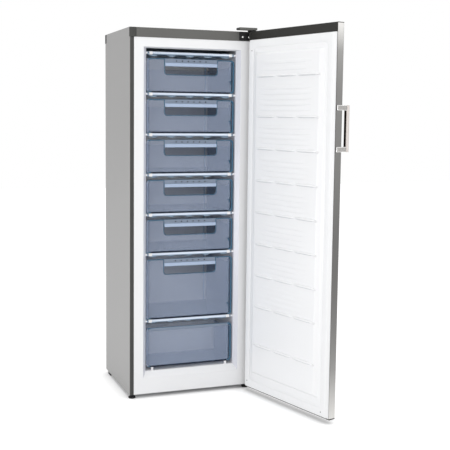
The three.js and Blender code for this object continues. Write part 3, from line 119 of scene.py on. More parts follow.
# %% The camera
PHOTO_SIDE = 450
FOCAL_PIXELS = 900.9
OPTICAL_CENTRE = (222.8, 209.2)
CAMERA_PLACE = on_cabinet(-1320.1, -3950.8, 1308.7)
TURN_RIGHT, TILT_DOWN, ROLL = (math.radians(angle) for angle in (20.43, 5.89, 0.63))

ahead, aside = math.cos(TURN_RIGHT), math.sin(TURN_RIGHT)
level, down = math.cos(TILT_DOWN), math.sin(TILT_DOWN)
sight = Vector((aside * level, ahead * level, -down))
level_right = Vector((ahead, -aside, 0))
level_up = level_right.cross(sight)
right = level_right * math.cos(ROLL) + level_up * math.sin(ROLL)
up = level_up * math.cos(ROLL) - level_right * math.sin(ROLL)

camera_data = bpy.data.cameras.new("photographer")
camera_data.sensor_width = 36
camera_data.lens = FOCAL_PIXELS / PHOTO_SIDE * camera_data.sensor_width
camera_data.shift_x = 0.5 - OPTICAL_CENTRE[0] / PHOTO_SIDE
camera_data.shift_y = OPTICAL_CENTRE[1] / PHOTO_SIDE - 0.5
camera = bpy.data.objects.new("photographer", camera_data)
camera.matrix_world = Matrix.Translation(CAMERA_PLACE) @ Matrix((right, up, -sight)).transposed().to_4x4()
bpy.context.collection.objects.link(camera)
bpy.context.scene.camera = camera
print("lens", round(camera_data.lens, 1), "mm")

# %% [markdown]
# ## A white studio
#
# The freezer stands on white paper in soft light from four large lamps: a wide one in front and
# to the left does most of the work, a weak one on the right opens the shadows on the door, a low
# one lights the cabinet's side, and one hangs overhead.

# %% Lamps
scene = bpy.context.scene
scene.view_settings.view_transform = "Standard"


def soft_lamp(name, place, aim, size, power):
    lamp_data = bpy.data.lights.new(name, "AREA")
    lamp_data.shape = "RECTANGLE"
    lamp_data.size, lamp_data.size_y = size
    lamp_data.energy = power
    lamp = bpy.data.objects.new(name, lamp_data)
    lamp.location = place
    lamp.rotation_euler = (Vector(aim) - Vector(place)).to_track_quat("-Z", "Y").to_euler()
    scene.collection.objects.link(lamp)


CHEST = on_cabinet(0, 0, 900)
soft_lamp("front_lamp", (-1.2, -4.4, 2.0), CHEST, (2.6, 2.2), 44)
soft_lamp("right_lamp", (2.9, -2.2, 1.7), CHEST, (1.6, 2.2), 12)
soft_lamp("left_lamp", (-3.2, -0.4, 0.5), CHEST, (1.8, 1.0), 26)
soft_lamp("top_lamp", (0.2, -0.6, 3.6), CHEST, (2.4, 2.4), 16)
print(len(bpy.data.lights), "lamps")

# %% [markdown]
# ## Node trees in short
#
# The world, each material and each repeated form is a tree of nodes. These helpers add a node
# with its inputs, where an input is a plain value or a link from another node, and open a group
# whose inputs have names and usual values.

# %% Helpers for node trees
COLOUR, NUMBER, VECTOR = "NodeSocketColor", "NodeSocketFloat", "NodeSocketVector"
COUNT, GEOMETRY, MATERIAL = "NodeSocketInt", "NodeSocketGeometry", "NodeSocketMaterial"


def set_inputs(tree, made, inputs):
    for key, value in inputs.items():
        if isinstance(value, bpy.types.NodeSocket):
            tree.links.new(value, made.inputs[key])
        else:
            made.inputs[key].default_value = value


def node(tree, kind, label="", inputs=None, **settings):
    made = tree.nodes.new(kind)
    made.label = label
    for key, value in settings.items():
        setattr(made, key, value)
    set_inputs(tree, made, inputs or {})
    return made


def math_node(tree, operation, first, second):
    return node(tree, "ShaderNodeMath", "", {0: first, 1: second}, operation=operation).outputs[0]


def open_group(name, kind, inputs, outputs):
    """A node group with its named sockets, and what those inputs give inside it."""
    tree = bpy.data.node_groups.new(name, kind)
    for label, socket_type, usual in inputs:
        socket = tree.interface.new_socket(label, in_out="INPUT", socket_type=socket_type)
        if usual is not None:
            socket.default_value = usual
    for label, socket_type in outputs:
        tree.interface.new_socket(label, in_out="OUTPUT", socket_type=socket_type)
    return tree, node(tree, "NodeGroupInput").outputs


def new_material(name, preview):
    material = bpy.data.materials.new(name)
    material.use_nodes = True
    material.diffuse_color = preview
    return material, material.node_tree, material.node_tree.nodes["Principled BSDF"]


# %% [markdown]
# The white around the object doesn't come from more light. The world and the floor show white to
# the camera, to mirrors and to clear plastic, and light everything else at a plain level, so the
# paper still carries the soft shadow under the freezer. Near the freezer an Ambient Occlusion node
# also dims the paper's white glow, which paints a soft shadow there.

# %% The world and the paper floor
AMBIENT = 0.76
WHITE = (1, 1, 1, 1)
PAPER_LIFT, SHADOW_REACH, FLOOR_REACH = 0.56, 0.09, 12


def seen_directly(tree):
    """1 for what the camera, a mirror or clear plastic sees, 0 for light that only bounces."""
    path = node(tree, "ShaderNodeLightPath").outputs
    plain = math_node(tree, "MAXIMUM", path["Is Camera Ray"], path["Is Glossy Ray"])
    return math_node(tree, "MAXIMUM", plain, path["Is Transmission Ray"])


world = bpy.data.worlds.new("studio")
scene.world = world
world.use_nodes = True
sky = world.node_tree
sky_range = {"Value": seen_directly(sky), "To Min": AMBIENT, "To Max": 1}
sky_level = node(sky, "ShaderNodeMapRange", "", sky_range)
set_inputs(sky, sky.nodes["Background"], {"Color": WHITE, "Strength": sky_level.outputs["Result"]})

floor_mesh = bpy.data.meshes.new("paper_floor")
near, far = -FLOOR_REACH, FLOOR_REACH
corners = [(near, near, 0), (far, near, 0), (far, far, 0), (near, far, 0)]
floor_mesh.from_pydata(corners, [], [(0, 1, 2, 3)])
floor = bpy.data.objects.new("paper_floor", floor_mesh)
scene.collection.objects.link(floor)
floor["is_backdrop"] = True

paper, paper_tree, paper_shader = new_material("white_paper", WHITE)
# The Ambient Occlusion node paints a soft shadow into the paper's glow near the freezer
nearby = node(paper_tree, "ShaderNodeAmbientOcclusion", "", {"Distance": SHADOW_REACH})
shaded = math_node(paper_tree, "MULTIPLY", seen_directly(paper_tree), nearby.outputs["AO"])
paper_inputs = {
    "Base Color": (0.8, 0.8, 0.8, 1),
    "Roughness": 0.9,
    "Specular IOR Level": 0.1,
    "Emission Color": WHITE,
    "Emission Strength": math_node(paper_tree, "MULTIPLY", shaded, PAPER_LIFT),
}
set_inputs(paper_tree, paper_shader, paper_inputs)
floor_mesh.materials.append(paper)
print("floor", 2 * FLOOR_REACH, "m wide")

# %% [markdown]
# ## One recipe for every surface
#
# No real surface is one flat colour. Moulded plastic has a faint orange-peel grain, paint has a
# cloudy depth, and sheet steel is brushed along its length. All of these are the same idea: a
# slow noise that shifts the colour a little and a fine noise that roughens the surface. So one
# node group makes both, and each finish only says how strong they are and how far they are
# stretched. A stretch of ninety along Z turns round grain into long brush strokes.

# %% The shared surface effect
GRAIN_HEIGHT = 0.0004
surface, given = open_group(
    "surface_character",
    "ShaderNodeTree",
    [
        ("Colour", COLOUR, (0.8, 0.8, 0.8, 1)),
        ("Cloudiness", NUMBER, 0.05),
        ("Cloud size", NUMBER, 0.2),
        ("Grain size", NUMBER, 0.002),
        ("Grain stretch", VECTOR, (1, 1, 1)),
        ("Grain colour", NUMBER, 0),
        ("Grain depth", NUMBER, 0.1),
        ("Roughness", NUMBER, 0.4),
        ("Roughness spread", NUMBER, 0.1),
    ],
    [("Colour", COLOUR), ("Roughness", NUMBER), ("Normal", VECTOR)],
)


def noise(label, place, size, detail):
    scale = math_node(surface, "DIVIDE", 1, size)
    inputs = {"Vector": place, "Scale": scale, "Detail": detail}
    return node(surface, "ShaderNodeTexNoise", label, inputs).outputs["Fac"]


def centred(source, amount):
    return math_node(surface, "MULTIPLY", math_node(surface, "SUBTRACT", source, 0.5), amount)


place = node(surface, "ShaderNodeTexCoord").outputs["Object"]
brush = {0: place, 1: given["Grain stretch"]}
brushed = node(surface, "ShaderNodeVectorMath", "brush direction", brush, operation="DIVIDE")
clouds = noise("slow clouds", place, given["Cloud size"], 3)
grain = noise("fine grain", brushed.outputs["Vector"], given["Grain size"], 4)
cloud_shift = centred(clouds, given["Cloudiness"])
shift = math_node(surface, "ADD", cloud_shift, centred(grain, given["Grain colour"]))
tint_inputs = {"Color": given["Colour"], "Value": math_node(surface, "ADD", shift, 1)}
tint = node(surface, "ShaderNodeHueSaturation", "lighter and darker", tint_inputs)
rough_shift = centred(grain, given["Roughness spread"])
bump_inputs = {"Distance": GRAIN_HEIGHT, "Strength": given["Grain depth"], "Height": grain}
surface_results = {
    "Colour": tint.outputs["Color"],
    "Roughness": math_node(surface, "ADD", given["Roughness"], rough_shift),
    "Normal": node(surface, "ShaderNodeBump", "surface grain", bump_inputs).outputs["Normal"],
}
node(surface, "NodeGroupOutput", "", surface_results)
print("surface_character has", len(surface.nodes), "nodes")


# %% A finish is the shared effect with its own values
def give_character(tree, shader, inputs):
    effect = node(tree, "ShaderNodeGroup", "surface character", inputs, node_tree=surface)
    for result, target in zip(effect.outputs, ("Base Color", "Roughness", "Normal")):
        tree.links.new(result, shader.inputs[target])


def finish(name, colour, rough, clouds, grain, stretch=1, metal=0, coat=0, shine=0.5):
    """rough: mean, spread. clouds: strength, size in m. grain: size in m, depth, colour."""
    material, tree, shader = new_material(name, (*colour, 1))
    effect_inputs = {
        "Colour": (*colour, 1),
        "Roughness": rough[0],
        "Roughness spread": rough[1],
        "Cloudiness": clouds[0],
        "Cloud size": clouds[1],
        "Grain size": grain[0],
        "Grain depth": grain[1],
        "Grain colour": grain[2],
        "Grain stretch": (1, 1, stretch),
    }
    give_character(tree, shader, effect_inputs)
    own = {"Metallic": metal, "Coat Weight": coat, "Coat Roughness": 0.15, "Specular IOR Level": shine}
    set_inputs(tree, shader, own)
    return material


# %% [markdown]
# ## The finishes
#
# The cabinet is painted silver-grey: a satin paint with a little metal in it. The door is real
# stainless steel, brushed upright. The inside and the door's back are glossy white moulded
# sheet. The strips at the top are soft grey and nearly black plastic, and the shelf bars are
# pale blue-white. Behind the cabinet everything is black enamel, copper or bare zinc.

# %% Painted and moulded finishes
silver_paint = finish(
    "silver_paint", (0.285, 0.282, 0.28), (0.42, 0.08), (0.05, 0.5), (0.0016, 0.08, 0.05), metal=0.25
)
# The side panels' forward-facing edges: painted shade
flange_painted_shade = finish(
    "flange_painted_shade", (0.05, 0.05, 0.048), (0.4, 0.08), (0.3, 0.35), (0.0016, 0.08, 0.05), shine=0.3
)
strip_grey = finish(
    "strip_grey", (0.118, 0.117, 0.11), (0.45, 0.1), (0.12, 0.3), (0.0009, 0.16, 0.06), shine=0.35
)
end_grey = finish(
    "end_grey", (0.05, 0.05, 0.047), (0.45, 0.1), (0.06, 0.2), (0.0009, 0.16, 0.06), shine=0.3
)
cap_grey = finish(
    "cap_grey", (0.02, 0.0195, 0.017), (0.46, 0.1), (0.25, 0.25), (0.0009, 0.2, 0.1), shine=0.25
)
black_plastic = finish(
    "black_plastic", (0.008, 0.008, 0.009), (0.5, 0.15), (0.1, 0.2), (0.0008, 0.25, 0.2), shine=0.25
)
black_enamel = finish(
    "black_enamel", (0.009, 0.009, 0.01), (0.38, 0.2), (0.2, 0.05), (0.0012, 0.2, 0.2), shine=0.3
)
white_liner = finish(
    "white_liner", (0.85, 0.853, 0.862), (0.32, 0.06), (0.015, 0.25), (0.0025, 0.04, 0), coat=0.15
)
# The liner's side walls: painted shade, with a painted blue reflection of the drawers
side_wall_painted_shade = finish(
    "side_wall_painted_shade", (0.66, 0.665, 0.72), (0.3, 0.06), (0.04, 0.3), (0.0025, 0.04, 0), coat=0.2
)
# The liner's ceiling behind the first bar: a painted deep shade
ceiling_shade = finish(
    "ceiling_shade", (0.012, 0.015, 0.022), (0.5, 0.06), (0.05, 0.2), (0.0025, 0.04, 0), shine=0.2
)
# Shelf tubes and inside pipes: white enamel painted darker and bluer, as the shade inside the cabinet behind the
# blue drawers
white_enamel_in_painted_shade = finish(
    "white_enamel_in_painted_shade", (0.42, 0.55, 0.68), (0.3, 0.1), (0.06, 0.05), (0.002, 0.08, 0), coat=0.3
)
pale_bar = finish(
    "pale_bar", (0.68, 0.76, 0.88), (0.25, 0.06), (0.03, 0.08), (0.0015, 0.04, 0), coat=0.2
)
# The lower part of each shelf bar and its end hooks: painted shade
bar_shade = finish(
    "bar_shade", (0.26, 0.36, 0.48), (0.3, 0.06), (0.05, 0.08), (0.0015, 0.04, 0), coat=0.1
)
# A band under each drawer's front and the grip's dimples: painted shade
drawer_painted_shade = finish(
    "drawer_painted_shade", (0.004, 0.006, 0.016), (0.6, 0.1), (0.1, 0.1), (0.002, 0.04, 0), shine=0.15
)
# The undersides of the humps on the door's back: painted shade
liner_shade = finish("liner_shade", (0.66, 0.665, 0.68), (0.4, 0.06), (0.04, 0.1), (0.0025, 0.04, 0))
foam = finish("foam", (0.78, 0.68, 0.42), (0.9, 0.1), (0.2, 0.04), (0.002, 0.7, 0.2))
seal_white = finish("seal_white", (0.84, 0.843, 0.85), (0.5, 0.1), (0.04, 0.1), (0.001, 0.1, 0))
nylon = finish("nylon", (0.7, 0.7, 0.68), (0.5, 0.1), (0.04, 0.2), (0.001, 0.1, 0))
print(len(bpy.data.materials), "materials so far")

# %% Metal finishes
zinc = finish("zinc_plate", (0.48, 0.49, 0.5), (0.42, 0.3), (0.25, 0.03), (0.006, 0.05, 0.15), metal=0.8)
copper = finish("copper", (0.72, 0.36, 0.22), (0.32, 0.25), (0.35, 0.04), (0.002, 0.06, 0.15), metal=1)
# Chrome for the screw heads, and a painted highlight on the brackets' borders and sides
chrome_and_painted_highlight = finish(
    "chrome_and_painted_highlight", (0.75, 0.745, 0.74), (0.14, 0.08), (0.05, 0.05), (0.0008, 0.03, 0), metal=1
)
brushed_steel = finish(
    "brushed_steel", (0.3, 0.295, 0.285), (0.34, 0.22), (0.15, 0.5), (0.0009, 0.06, 0.3), 90, metal=0.95
)
handle_steel = finish(
    "handle_steel", (0.44, 0.405, 0.385), (0.3, 0.2), (0.05, 0.1), (0.0009, 0.05, 0.2), 60, metal=0.9
)
# The handle's side that faces the door: painted shade
handle_painted_shade = finish(
    "handle_painted_shade", (0.035, 0.026, 0.021), (0.35, 0.2), (0.3, 0.05), (0.0009, 0.05, 0.3), 60, metal=0.8
)
bright_steel = finish(
    "bright_steel", (0.22, 0.215, 0.208), (0.2, 0.12), (0.6, 0.009), (0.0008, 0.04, 0.1), 40, metal=1
)
print(len(bpy.data.materials), "materials so far")

# %% [markdown]
# A large polished sheet shows the room: it is lighter near the floor and near the ceiling and
# darker between them. This reflection is painted into the steel's colour as tones given by height,
# from the floor up.

# %% Painted reflection on the door's steel
STEEL_HEIGHT = 1.7
STEEL_TINT = (1, 0.985, 0.96)
STEEL_REFLECTION_TONES = [(0, 0.7), (0.14, 0.18), (0.4, 0.125), (0.72, 0.145), (0.93, 0.15), (1, 0.6)]


def paint_reflection_by_height(material, height, tones, tint):
    tree = material.node_tree
    place = node(tree, "ShaderNodeTexCoord").outputs["Object"]
    parts = node(tree, "ShaderNodeSeparateXYZ", "", {"Vector": place})
    share = math_node(tree, "DIVIDE", parts.outputs["Z"], height)
    # The ramp paints the room's reflection into the colour, by height
    ramp = node(tree, "ShaderNodeValToRGB", "slow tones", {"Fac": share})
    ramp.color_ramp.interpolation = "B_SPLINE"
    stops = ramp.color_ramp.elements
    while len(stops) < len(tones):
        stops.new(0.5)
    for stop, (where, tone) in zip(stops, tones):
        stop.position = where
        stop.color = (*(tone * part for part in tint), 1)
    effect = next(item for item in tree.nodes if item.type == "GROUP")
    tree.links.new(ramp.outputs["Color"], effect.inputs["Colour"])


paint_reflection_by_height(brushed_steel, STEEL_HEIGHT, STEEL_REFLECTION_TONES, STEEL_TINT)
print(len(STEEL_REFLECTION_TONES), "tones on the steel")

# %% [markdown]
# ## Clear plastic drawers
#
# The drawers are clear polystyrene with a breath of blue. Looked at straight on, the thin wall
# hardly shows. Seen along its edge, light travels a long way through it, and it turns dark teal.
# A Layer Weight node tells the two apart: it makes the wall more solid and darker where it is
# seen at a glancing angle.


# %% Clear drawer plastic
def clear_plastic(name, face, edge, face_alpha, edge_alpha, roughness):
    material, tree, shader = new_material(name, (*face, 0.6))
    glance = node(tree, "ShaderNodeLayerWeight", "glancing angle", {"Blend": 0.35}).outputs["Facing"]
    ends = {"A": (*face, 1), "B": (*edge, 1), "Factor": glance}
    colour = node(tree, "ShaderNodeMix", "face to edge", ends, data_type="RGBA")
    effect_inputs = {
        "Colour": colour.outputs["Result"],
        "Cloudiness": 0.06,
        "Cloud size": 0.12,
        "Grain depth": 0.05,
        "Roughness": roughness,
    }
    give_character(tree, shader, effect_inputs)
    alphas = {"To Min": face_alpha, "To Max": edge_alpha, "Value": glance}
    solid = node(tree, "ShaderNodeMapRange", "how solid it looks", alphas).outputs["Result"]
    set_inputs(tree, shader, {"Alpha": solid, "Coat Weight": 0.5, "Coat Roughness": 0.08})
    return material


drawer_wall = clear_plastic("drawer_wall", (0.60, 0.70, 0.93), (0.03, 0.15, 0.27), 0.15, 0.9, 0.16)
drawer_rim = clear_plastic("drawer_rim", (0.03, 0.115, 0.2), (0.02, 0.08, 0.15), 0.9, 0.97, 0.2)
drawer_frost = clear_plastic("drawer_frost", (0.22, 0.27, 0.36), (0.1, 0.15, 0.22), 0.85, 0.95, 0.5)
drawer_lip = clear_plastic("drawer_lip", (0.42, 0.52, 0.70), (0.2, 0.3, 0.42), 0.92, 0.97, 0.15)
print(len(bpy.data.materials), "materials in all")

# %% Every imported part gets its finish
FINISH_OF_SLOT = {
    "painted_steel": silver_paint,
    "zinc_steel": zinc,
    "grey_plastic": strip_grey,
    "dark_plastic": cap_grey,
    "black_plastic": black_plastic,
    "white_liner": white_liner,
    "foam": foam,
    "white_wire": white_enamel_in_painted_shade,
    "pale_bar": pale_bar,
    "clear_blue": drawer_wall,
    "black_steel": black_enamel,
    "copper": copper,
    "brushed_steel": brushed_steel,
    "polished_steel": bright_steel,
    "soft_white": seal_white,
    "bush_plastic": nylon,
}
slot_of_node = {part["node"]: part["material_slot"] for part in frame["record"]["subparts"]}
for node_name, part in frame["nodes"].items():
    part.data.materials.clear()
    part.data.materials.append(FINISH_OF_SLOT[slot_of_node[node_name]])
print(len(slot_of_node), "parts have a finish")

# %% [markdown]
# ## How a piece is made
#
# Most pieces here are skins stretched over a few outlines. An outline is a ring of points with
# rounded corners. `skin` joins one ring to the next with faces, as a boat builder planks a hull
# over its frames, and can close the first and the last ring. `piece` turns the result into an
# object, puts it on the body it moves with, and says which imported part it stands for.

# %% Outlines and skins
SAME_POINT = 1e-7


def circle(radius, steps):
    angles = [2 * math.pi * step / steps for step in range(steps)]
    return [(radius * math.cos(a), radius * math.sin(a)) for a in angles]


def quarter(centre_a, centre_b, radius, start, steps=6):
    angles = [math.radians(start + 90 * step / steps) for step in range(steps + 1)]
    return [(centre_a + radius * math.cos(a), centre_b + radius * math.sin(a)) for a in angles]


def rounded_rectangle(a0, a1, b0, b1, radius, steps):
    radius = max(min(radius, (a1 - a0) / 2 - 0.01, (b1 - b0) / 2 - 0.01), 0.01)
    low_a, high_a, low_b, high_b = a0 + radius, a1 - radius, b0 + radius, b1 - radius
    corners = [(high_a, low_b, -90), (high_a, high_b, 0), (low_a, high_b, 90), (low_a, low_b, 180)]
    return [point for a, b, start in corners for point in quarter(a, b, radius, start, steps)]


def skin(form, rings, close_first=True, closed_path=False, material_index=0):
    made = [[form.verts.new(point) for point in ring] for ring in rings]
    pairs = list(zip(made, made[1:]))
    if closed_path:
        pairs.append((made[-1], made[0]))
    for ring, following in pairs:
        for index in range(len(ring)):
            after = (index + 1) % len(ring)
            face = form.faces.new((ring[index], ring[after], following[after], following[index]))
            face.material_index = material_index
    if close_first and not closed_path:
        form.faces.new(list(reversed(made[0]))).material_index = material_index
    if not closed_path:
        form.faces.new(made[-1]).material_index = material_index


def piece(name, form, body, finishes, stands_for, smooth_angle=35):
    bmesh.ops.remove_doubles(form, verts=form.verts, dist=SAME_POINT)
    bmesh.ops.recalc_face_normals(form, faces=form.faces)
    return dress(name, mesh_of(name, form), body, finishes, stands_for, smooth_angle)


def mesh_of(name, form):
    mesh = bpy.data.meshes.new(name)
    form.to_mesh(mesh)
    form.free()
    return mesh


def dress(name, mesh, body, finishes, stands_for, smooth_angle=35):
    mesh.shade_smooth()
    mesh.set_sharp_from_angle(angle=math.radians(smooth_angle))
    indices = [face.material_index for face in mesh.polygons]
    mesh.materials.clear()
    for material in finishes:
        mesh.materials.append(material)
    mesh.polygons.foreach_set("material_index", indices)
    made = bpy.data.objects.new(name, mesh)
    scene.collection.objects.link(made)
    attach(made, body)
    if stands_for:
        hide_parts(*stands_for)
    return made


# %% [markdown]
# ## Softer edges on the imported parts
#
# A pressed or moulded part never has a knife edge: a thin line of light runs along each corner.
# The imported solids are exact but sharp, so a merged copy gets a narrow bevel and stands for the
# solid. Its flat faces are joined first, because a bevel needs real edges, not triangles.

# %% Copies with rounded edges
PACKED_SAME_POINT = 2e-6
BODY_OF_NODE = {
    name: body for body, names in frame["record"]["behaviour"]["bodies"].items() for name in names
}


def round_edges(made, width, segments, angle=30):
    bevel = made.modifiers.new("rounded_edges", "BEVEL")
    bevel.width = width * MM
    bevel.segments = segments
    bevel.limit_method = "ANGLE"
    bevel.angle_limit = math.radians(angle)
    return bevel


def softened(node_name, width, segments=2, finishes=None, paint=None):
    form = bmesh.new()
    form.from_mesh(frame["nodes"][node_name].data)
    bmesh.ops.remove_doubles(form, verts=form.verts, dist=PACKED_SAME_POINT)
    bmesh.ops.dissolve_limit(form, angle_limit=math.radians(1), verts=form.verts, edges=form.edges)
    form.normal_update()
    if paint:
        for face in form.faces:
            face.material_index = paint(face.calc_center_median(), face.normal)
    slot = slot_of_node[node_name]
    finishes = finishes or [FINISH_OF_SLOT[slot]]
    name, body = node_name + "_softened", BODY_OF_NODE[node_name]
    made = piece(name, form, body, finishes, [node_name], smooth_angle=28)
    if width:
        round_edges(made, width, segments).harden_normals = True
    return made


SOFT_EDGES = {
    "fascia_strip": 1.0,
    "rear_top_trim": 1.2,
    "hinge_upper_bracket": 0.5,
    "hinge_lower_bracket": 0.6,
    "rear_foot_left": 1.0,
    "rear_foot_right": 1.0,
    "relay_cover": 1.5,
    "thermostat": 1.0,
    "door_bottom_cap": 0.8,
    "door_top_cap": 0.8,
}
for node_name, width in SOFT_EDGES.items():
    softened(node_name, width)
print(len(SOFT_EDGES), "parts have softer edges")

# %% [markdown]
# Some parts show two or three finishes. The narrow edges of the side panels that face forwards
# are painted in shade. The liner's side walls are painted darker and a little bluer than its rim,
# as painted shade with a painted reflection of the blue drawers, and its ceiling is painted in
# deep shade. The hinge cover is black over the last few millimetres of its left end, and the side
# of the handle that faces the door is painted in shade. The strip's end cap has one finish of its
# own.

# %% Copies with their own finishes
cover_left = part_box("hinge_upper_cover")[0].x
ceiling_from = on_cabinet(0, 0, 1605).z
BLACK_END_LENGTH = 3.2 * MM
STRAIGHT, SIDEWAYS, TOWARDS = 0.99, 0.6, 0.7


# Forward-facing faces of the side panels get the painted shade
def faces_forward(centre, normal):
    return 1 if normal.y < -STRAIGHT else 0


# The ceiling gets the painted deep shade, the side walls painted shade with a painted blue reflection
def inside_surface(centre, normal):
    if normal.z < -STRAIGHT and centre.z > ceiling_from:
        return 2
    return 1 if abs(normal.x) > SIDEWAYS else 0


def is_cover_end(centre, normal):
    return 1 if centre.x < cover_left + BLACK_END_LENGTH else 0


# The handle's faces towards the door get the painted shade
def faces_door(centre, normal):
    return 1 if normal.dot(out_of_door) < -TOWARDS else 0


softened("fascia_end_cap", 1.0, finishes=[end_grey])
for side in ("left", "right"):
    softened(f"side_panel_{side}", 0, finishes=[silver_paint, flange_painted_shade], paint=faces_forward)
liner_finishes = [white_liner, side_wall_painted_shade, ceiling_shade]
softened("inner_liner", 0.7, finishes=liner_finishes, paint=inside_surface)
softened("hinge_upper_cover", 0.3, finishes=[strip_grey, black_plastic], paint=is_cover_end)
softened("handle_bar", 1.0, finishes=[handle_steel, handle_painted_shade], paint=faces_door)
print(len(liner_finishes), "finishes inside")

# %% [markdown]
# ## The steel door skin
#
# The door's outer shell is one sheet of stainless steel folded round both sides and turned in
# at the back. Its corners were bent over a small radius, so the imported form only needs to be
# shaded smoothly there, and keeps the crisp line at its upper end, under the cap's thin lid.

# %% Door skin
door_skin = softened("door_skin", 0)
print("the door's skin has", len(door_skin.data.polygons), "faces")

# %% [markdown]
# ## The moulded back of the door
#
# The white back of the door is one sheet of plastic drawn over a mould. Its edge lies flat, then
# it rises to a broad raised field, and the field carries shallow shelves for support. Each ring
# below says how far in from the edge the sheet is and how far it stands out.

# %% Door liner: the sheet and its raised field
LINER_LOW, LINER_HIGH, LINER_EDGE = 25.3, 1659.7, 4
FIELD_SIDE, FIELD_LOW, FIELD_HIGH, FIELD_DEPTH = 84, 115, 1590, 25
ROOT_SIDE, ROOT_LOW, ROOT_HIGH = 53, 98, 1607


def door_ring(side, low, high, depth, radius):
    outline = rounded_rectangle(side, DOOR_WIDTH - side, low, high, radius, 8)
    return [on_door(u, -depth, z) for u, z in outline]


def edge_ring(inset, depth):
    return door_ring(LINER_EDGE + inset, LINER_LOW + inset, LINER_HIGH - inset, depth, 5)


def slope_ring(share, depth, radius):
    side = ROOT_SIDE + (FIELD_SIDE - ROOT_SIDE) * share
    low = ROOT_LOW + (FIELD_LOW - ROOT_LOW) * share
    high = ROOT_HIGH + (FIELD_HIGH - ROOT_HIGH) * share
    return door_ring(side, low, high, depth, radius)


door_back = bmesh.new()
rings = [edge_ring(0, 0.4), edge_ring(0, 1.4), edge_ring(0.4, 2.0), edge_ring(1, 2.3)]
rings += [door_ring(42.6, 57.6, 1627.4, 2.3, 22), door_ring(42.8, 57.8, 1627.2, 9.6, 22)]
rings += [door_ring(44, 59, 1626, 10.4, 21), door_ring(58, 84, 1612, 10.5, 12)]
rings += [slope_ring(0.4, 10.8, 6), slope_ring(0.46, 12.4, 6), slope_ring(0.92, 23.4, 6)]
rings += [slope_ring(1, 24.6, 6), slope_ring(1.08, 24.95, 5), slope_ring(1.2, 25, 4)]
skin(door_back, rings)
print(len(rings), "rings make the sheet")

# %% [markdown]
# ## Ribs by rule
#
# The raised field has nine support ledges, each in three lengths with short breaks, and between
# them run shallow stiffening waves. Every one of these is the same soft hump, only longer or
# taller. Geometry Nodes places them: the tree takes one hump, a column of levels and a row of
# places, and puts a copy at every crossing. It is kept as a tree with named inputs, so the pitch
# or the count can be changed without drawing anything again.


# %% A tree that repeats a form in rows and columns
def finish_tree(tree, geometry, material):
    """End a tree: its copies become real faces with one finish."""
    solid = node(tree, "GeometryNodeRealizeInstances", "", {"Geometry": geometry}).outputs["Geometry"]
    painted = node(tree, "GeometryNodeSetMaterial", "", {"Geometry": solid, "Material": material})
    node(tree, "NodeGroupOutput", "", {"Geometry": painted.outputs["Geometry"]})


def line_of_points(tree, **inputs):
    named = {key.replace("_", " "): value for key, value in inputs.items()}
    return node(tree, "GeometryNodeMeshLine", "", named).outputs["Mesh"]


def copies_on(tree, label, points, instance, **inputs):
    inputs = {"Points": points, "Instance": instance, **inputs}
    return node(tree, "GeometryNodeInstanceOnPoints", label, inputs).outputs["Instances"]


repeat, given = open_group(
    "rows_and_columns",
    "GeometryNodeTree",
    [
        ("Geometry", GEOMETRY, None),
        ("Rows", COUNT, 1),
        ("Row step", VECTOR, (0, 0, 0.1)),
        ("Columns", COUNT, 1),
        ("Column step", VECTOR, (0.1, 0, 0)),
        ("Finish", MATERIAL, None),
    ],
    [("Geometry", GEOMETRY)],
)
row = line_of_points(repeat, Count=given["Rows"], Offset=given["Row step"])
column = line_of_points(repeat, Count=given["Columns"], Offset=given["Column step"])
grid = copies_on(repeat, "a column at each row", row, column)
points = node(repeat, "GeometryNodeRealizeInstances", "", {"Geometry": grid}).outputs["Geometry"]
copies = copies_on(repeat, "a copy at each crossing", points, given["Geometry"])
finish_tree(repeat, copies, given["Finish"])


def baked(source):
    """The mesh that an object's modifiers make; the object itself goes."""
    bpy.context.view_layer.update()
    graph = bpy.context.evaluated_depsgraph_get()
    mesh = bpy.data.meshes.new_from_object(source.evaluated_get(graph))
    bpy.data.objects.remove(source)
    return mesh


def evaluated(source, tree, **values):
    modifier = source.modifiers.new(tree.name, "NODES")
    modifier.node_group = tree
    sockets = [item for item in tree.interface.items_tree if item.in_out == "INPUT"]
    names = {item.name: item.identifier for item in sockets}
    for key, value in values.items():
        modifier[names[key.replace("_", " ")]] = value
    return baked(source)


def loose_object(name, form):
    bmesh.ops.recalc_face_normals(form, faces=form.faces)
    made = bpy.data.objects.new(name, mesh_of(name, form))
    scene.collection.objects.link(made)
    return made


print("rows_and_columns has", len(repeat.nodes), "nodes")

# %% [markdown]
# A hump is a skin over a few upright slices. Each slice is a low arch, and the arches shrink
# towards both ends, so the ledge fades into the sheet as drawn plastic does.

# %% The humps on the door's back
RAIL_START, RAIL_LENGTH, RAIL_STEP, RAIL_COLUMNS = 94, 134, 142, 3
RAIL_HEIGHT, RAIL_RISE, RAIL_PITCH = 13, 6.5, 146.6
TOP_RAIL, SECOND_RAIL, LAST_RAIL = 1491, 1311, 248.4
EVEN_RAILS = 7
WAVE_START, WAVE_END = 112, 470
HUMP_SLICES, ARCH_SIDES, FADE, SUNK = 9, 8, 0.25, 1.2
END_HEIGHT, END_RISE = 0.55, 0.12


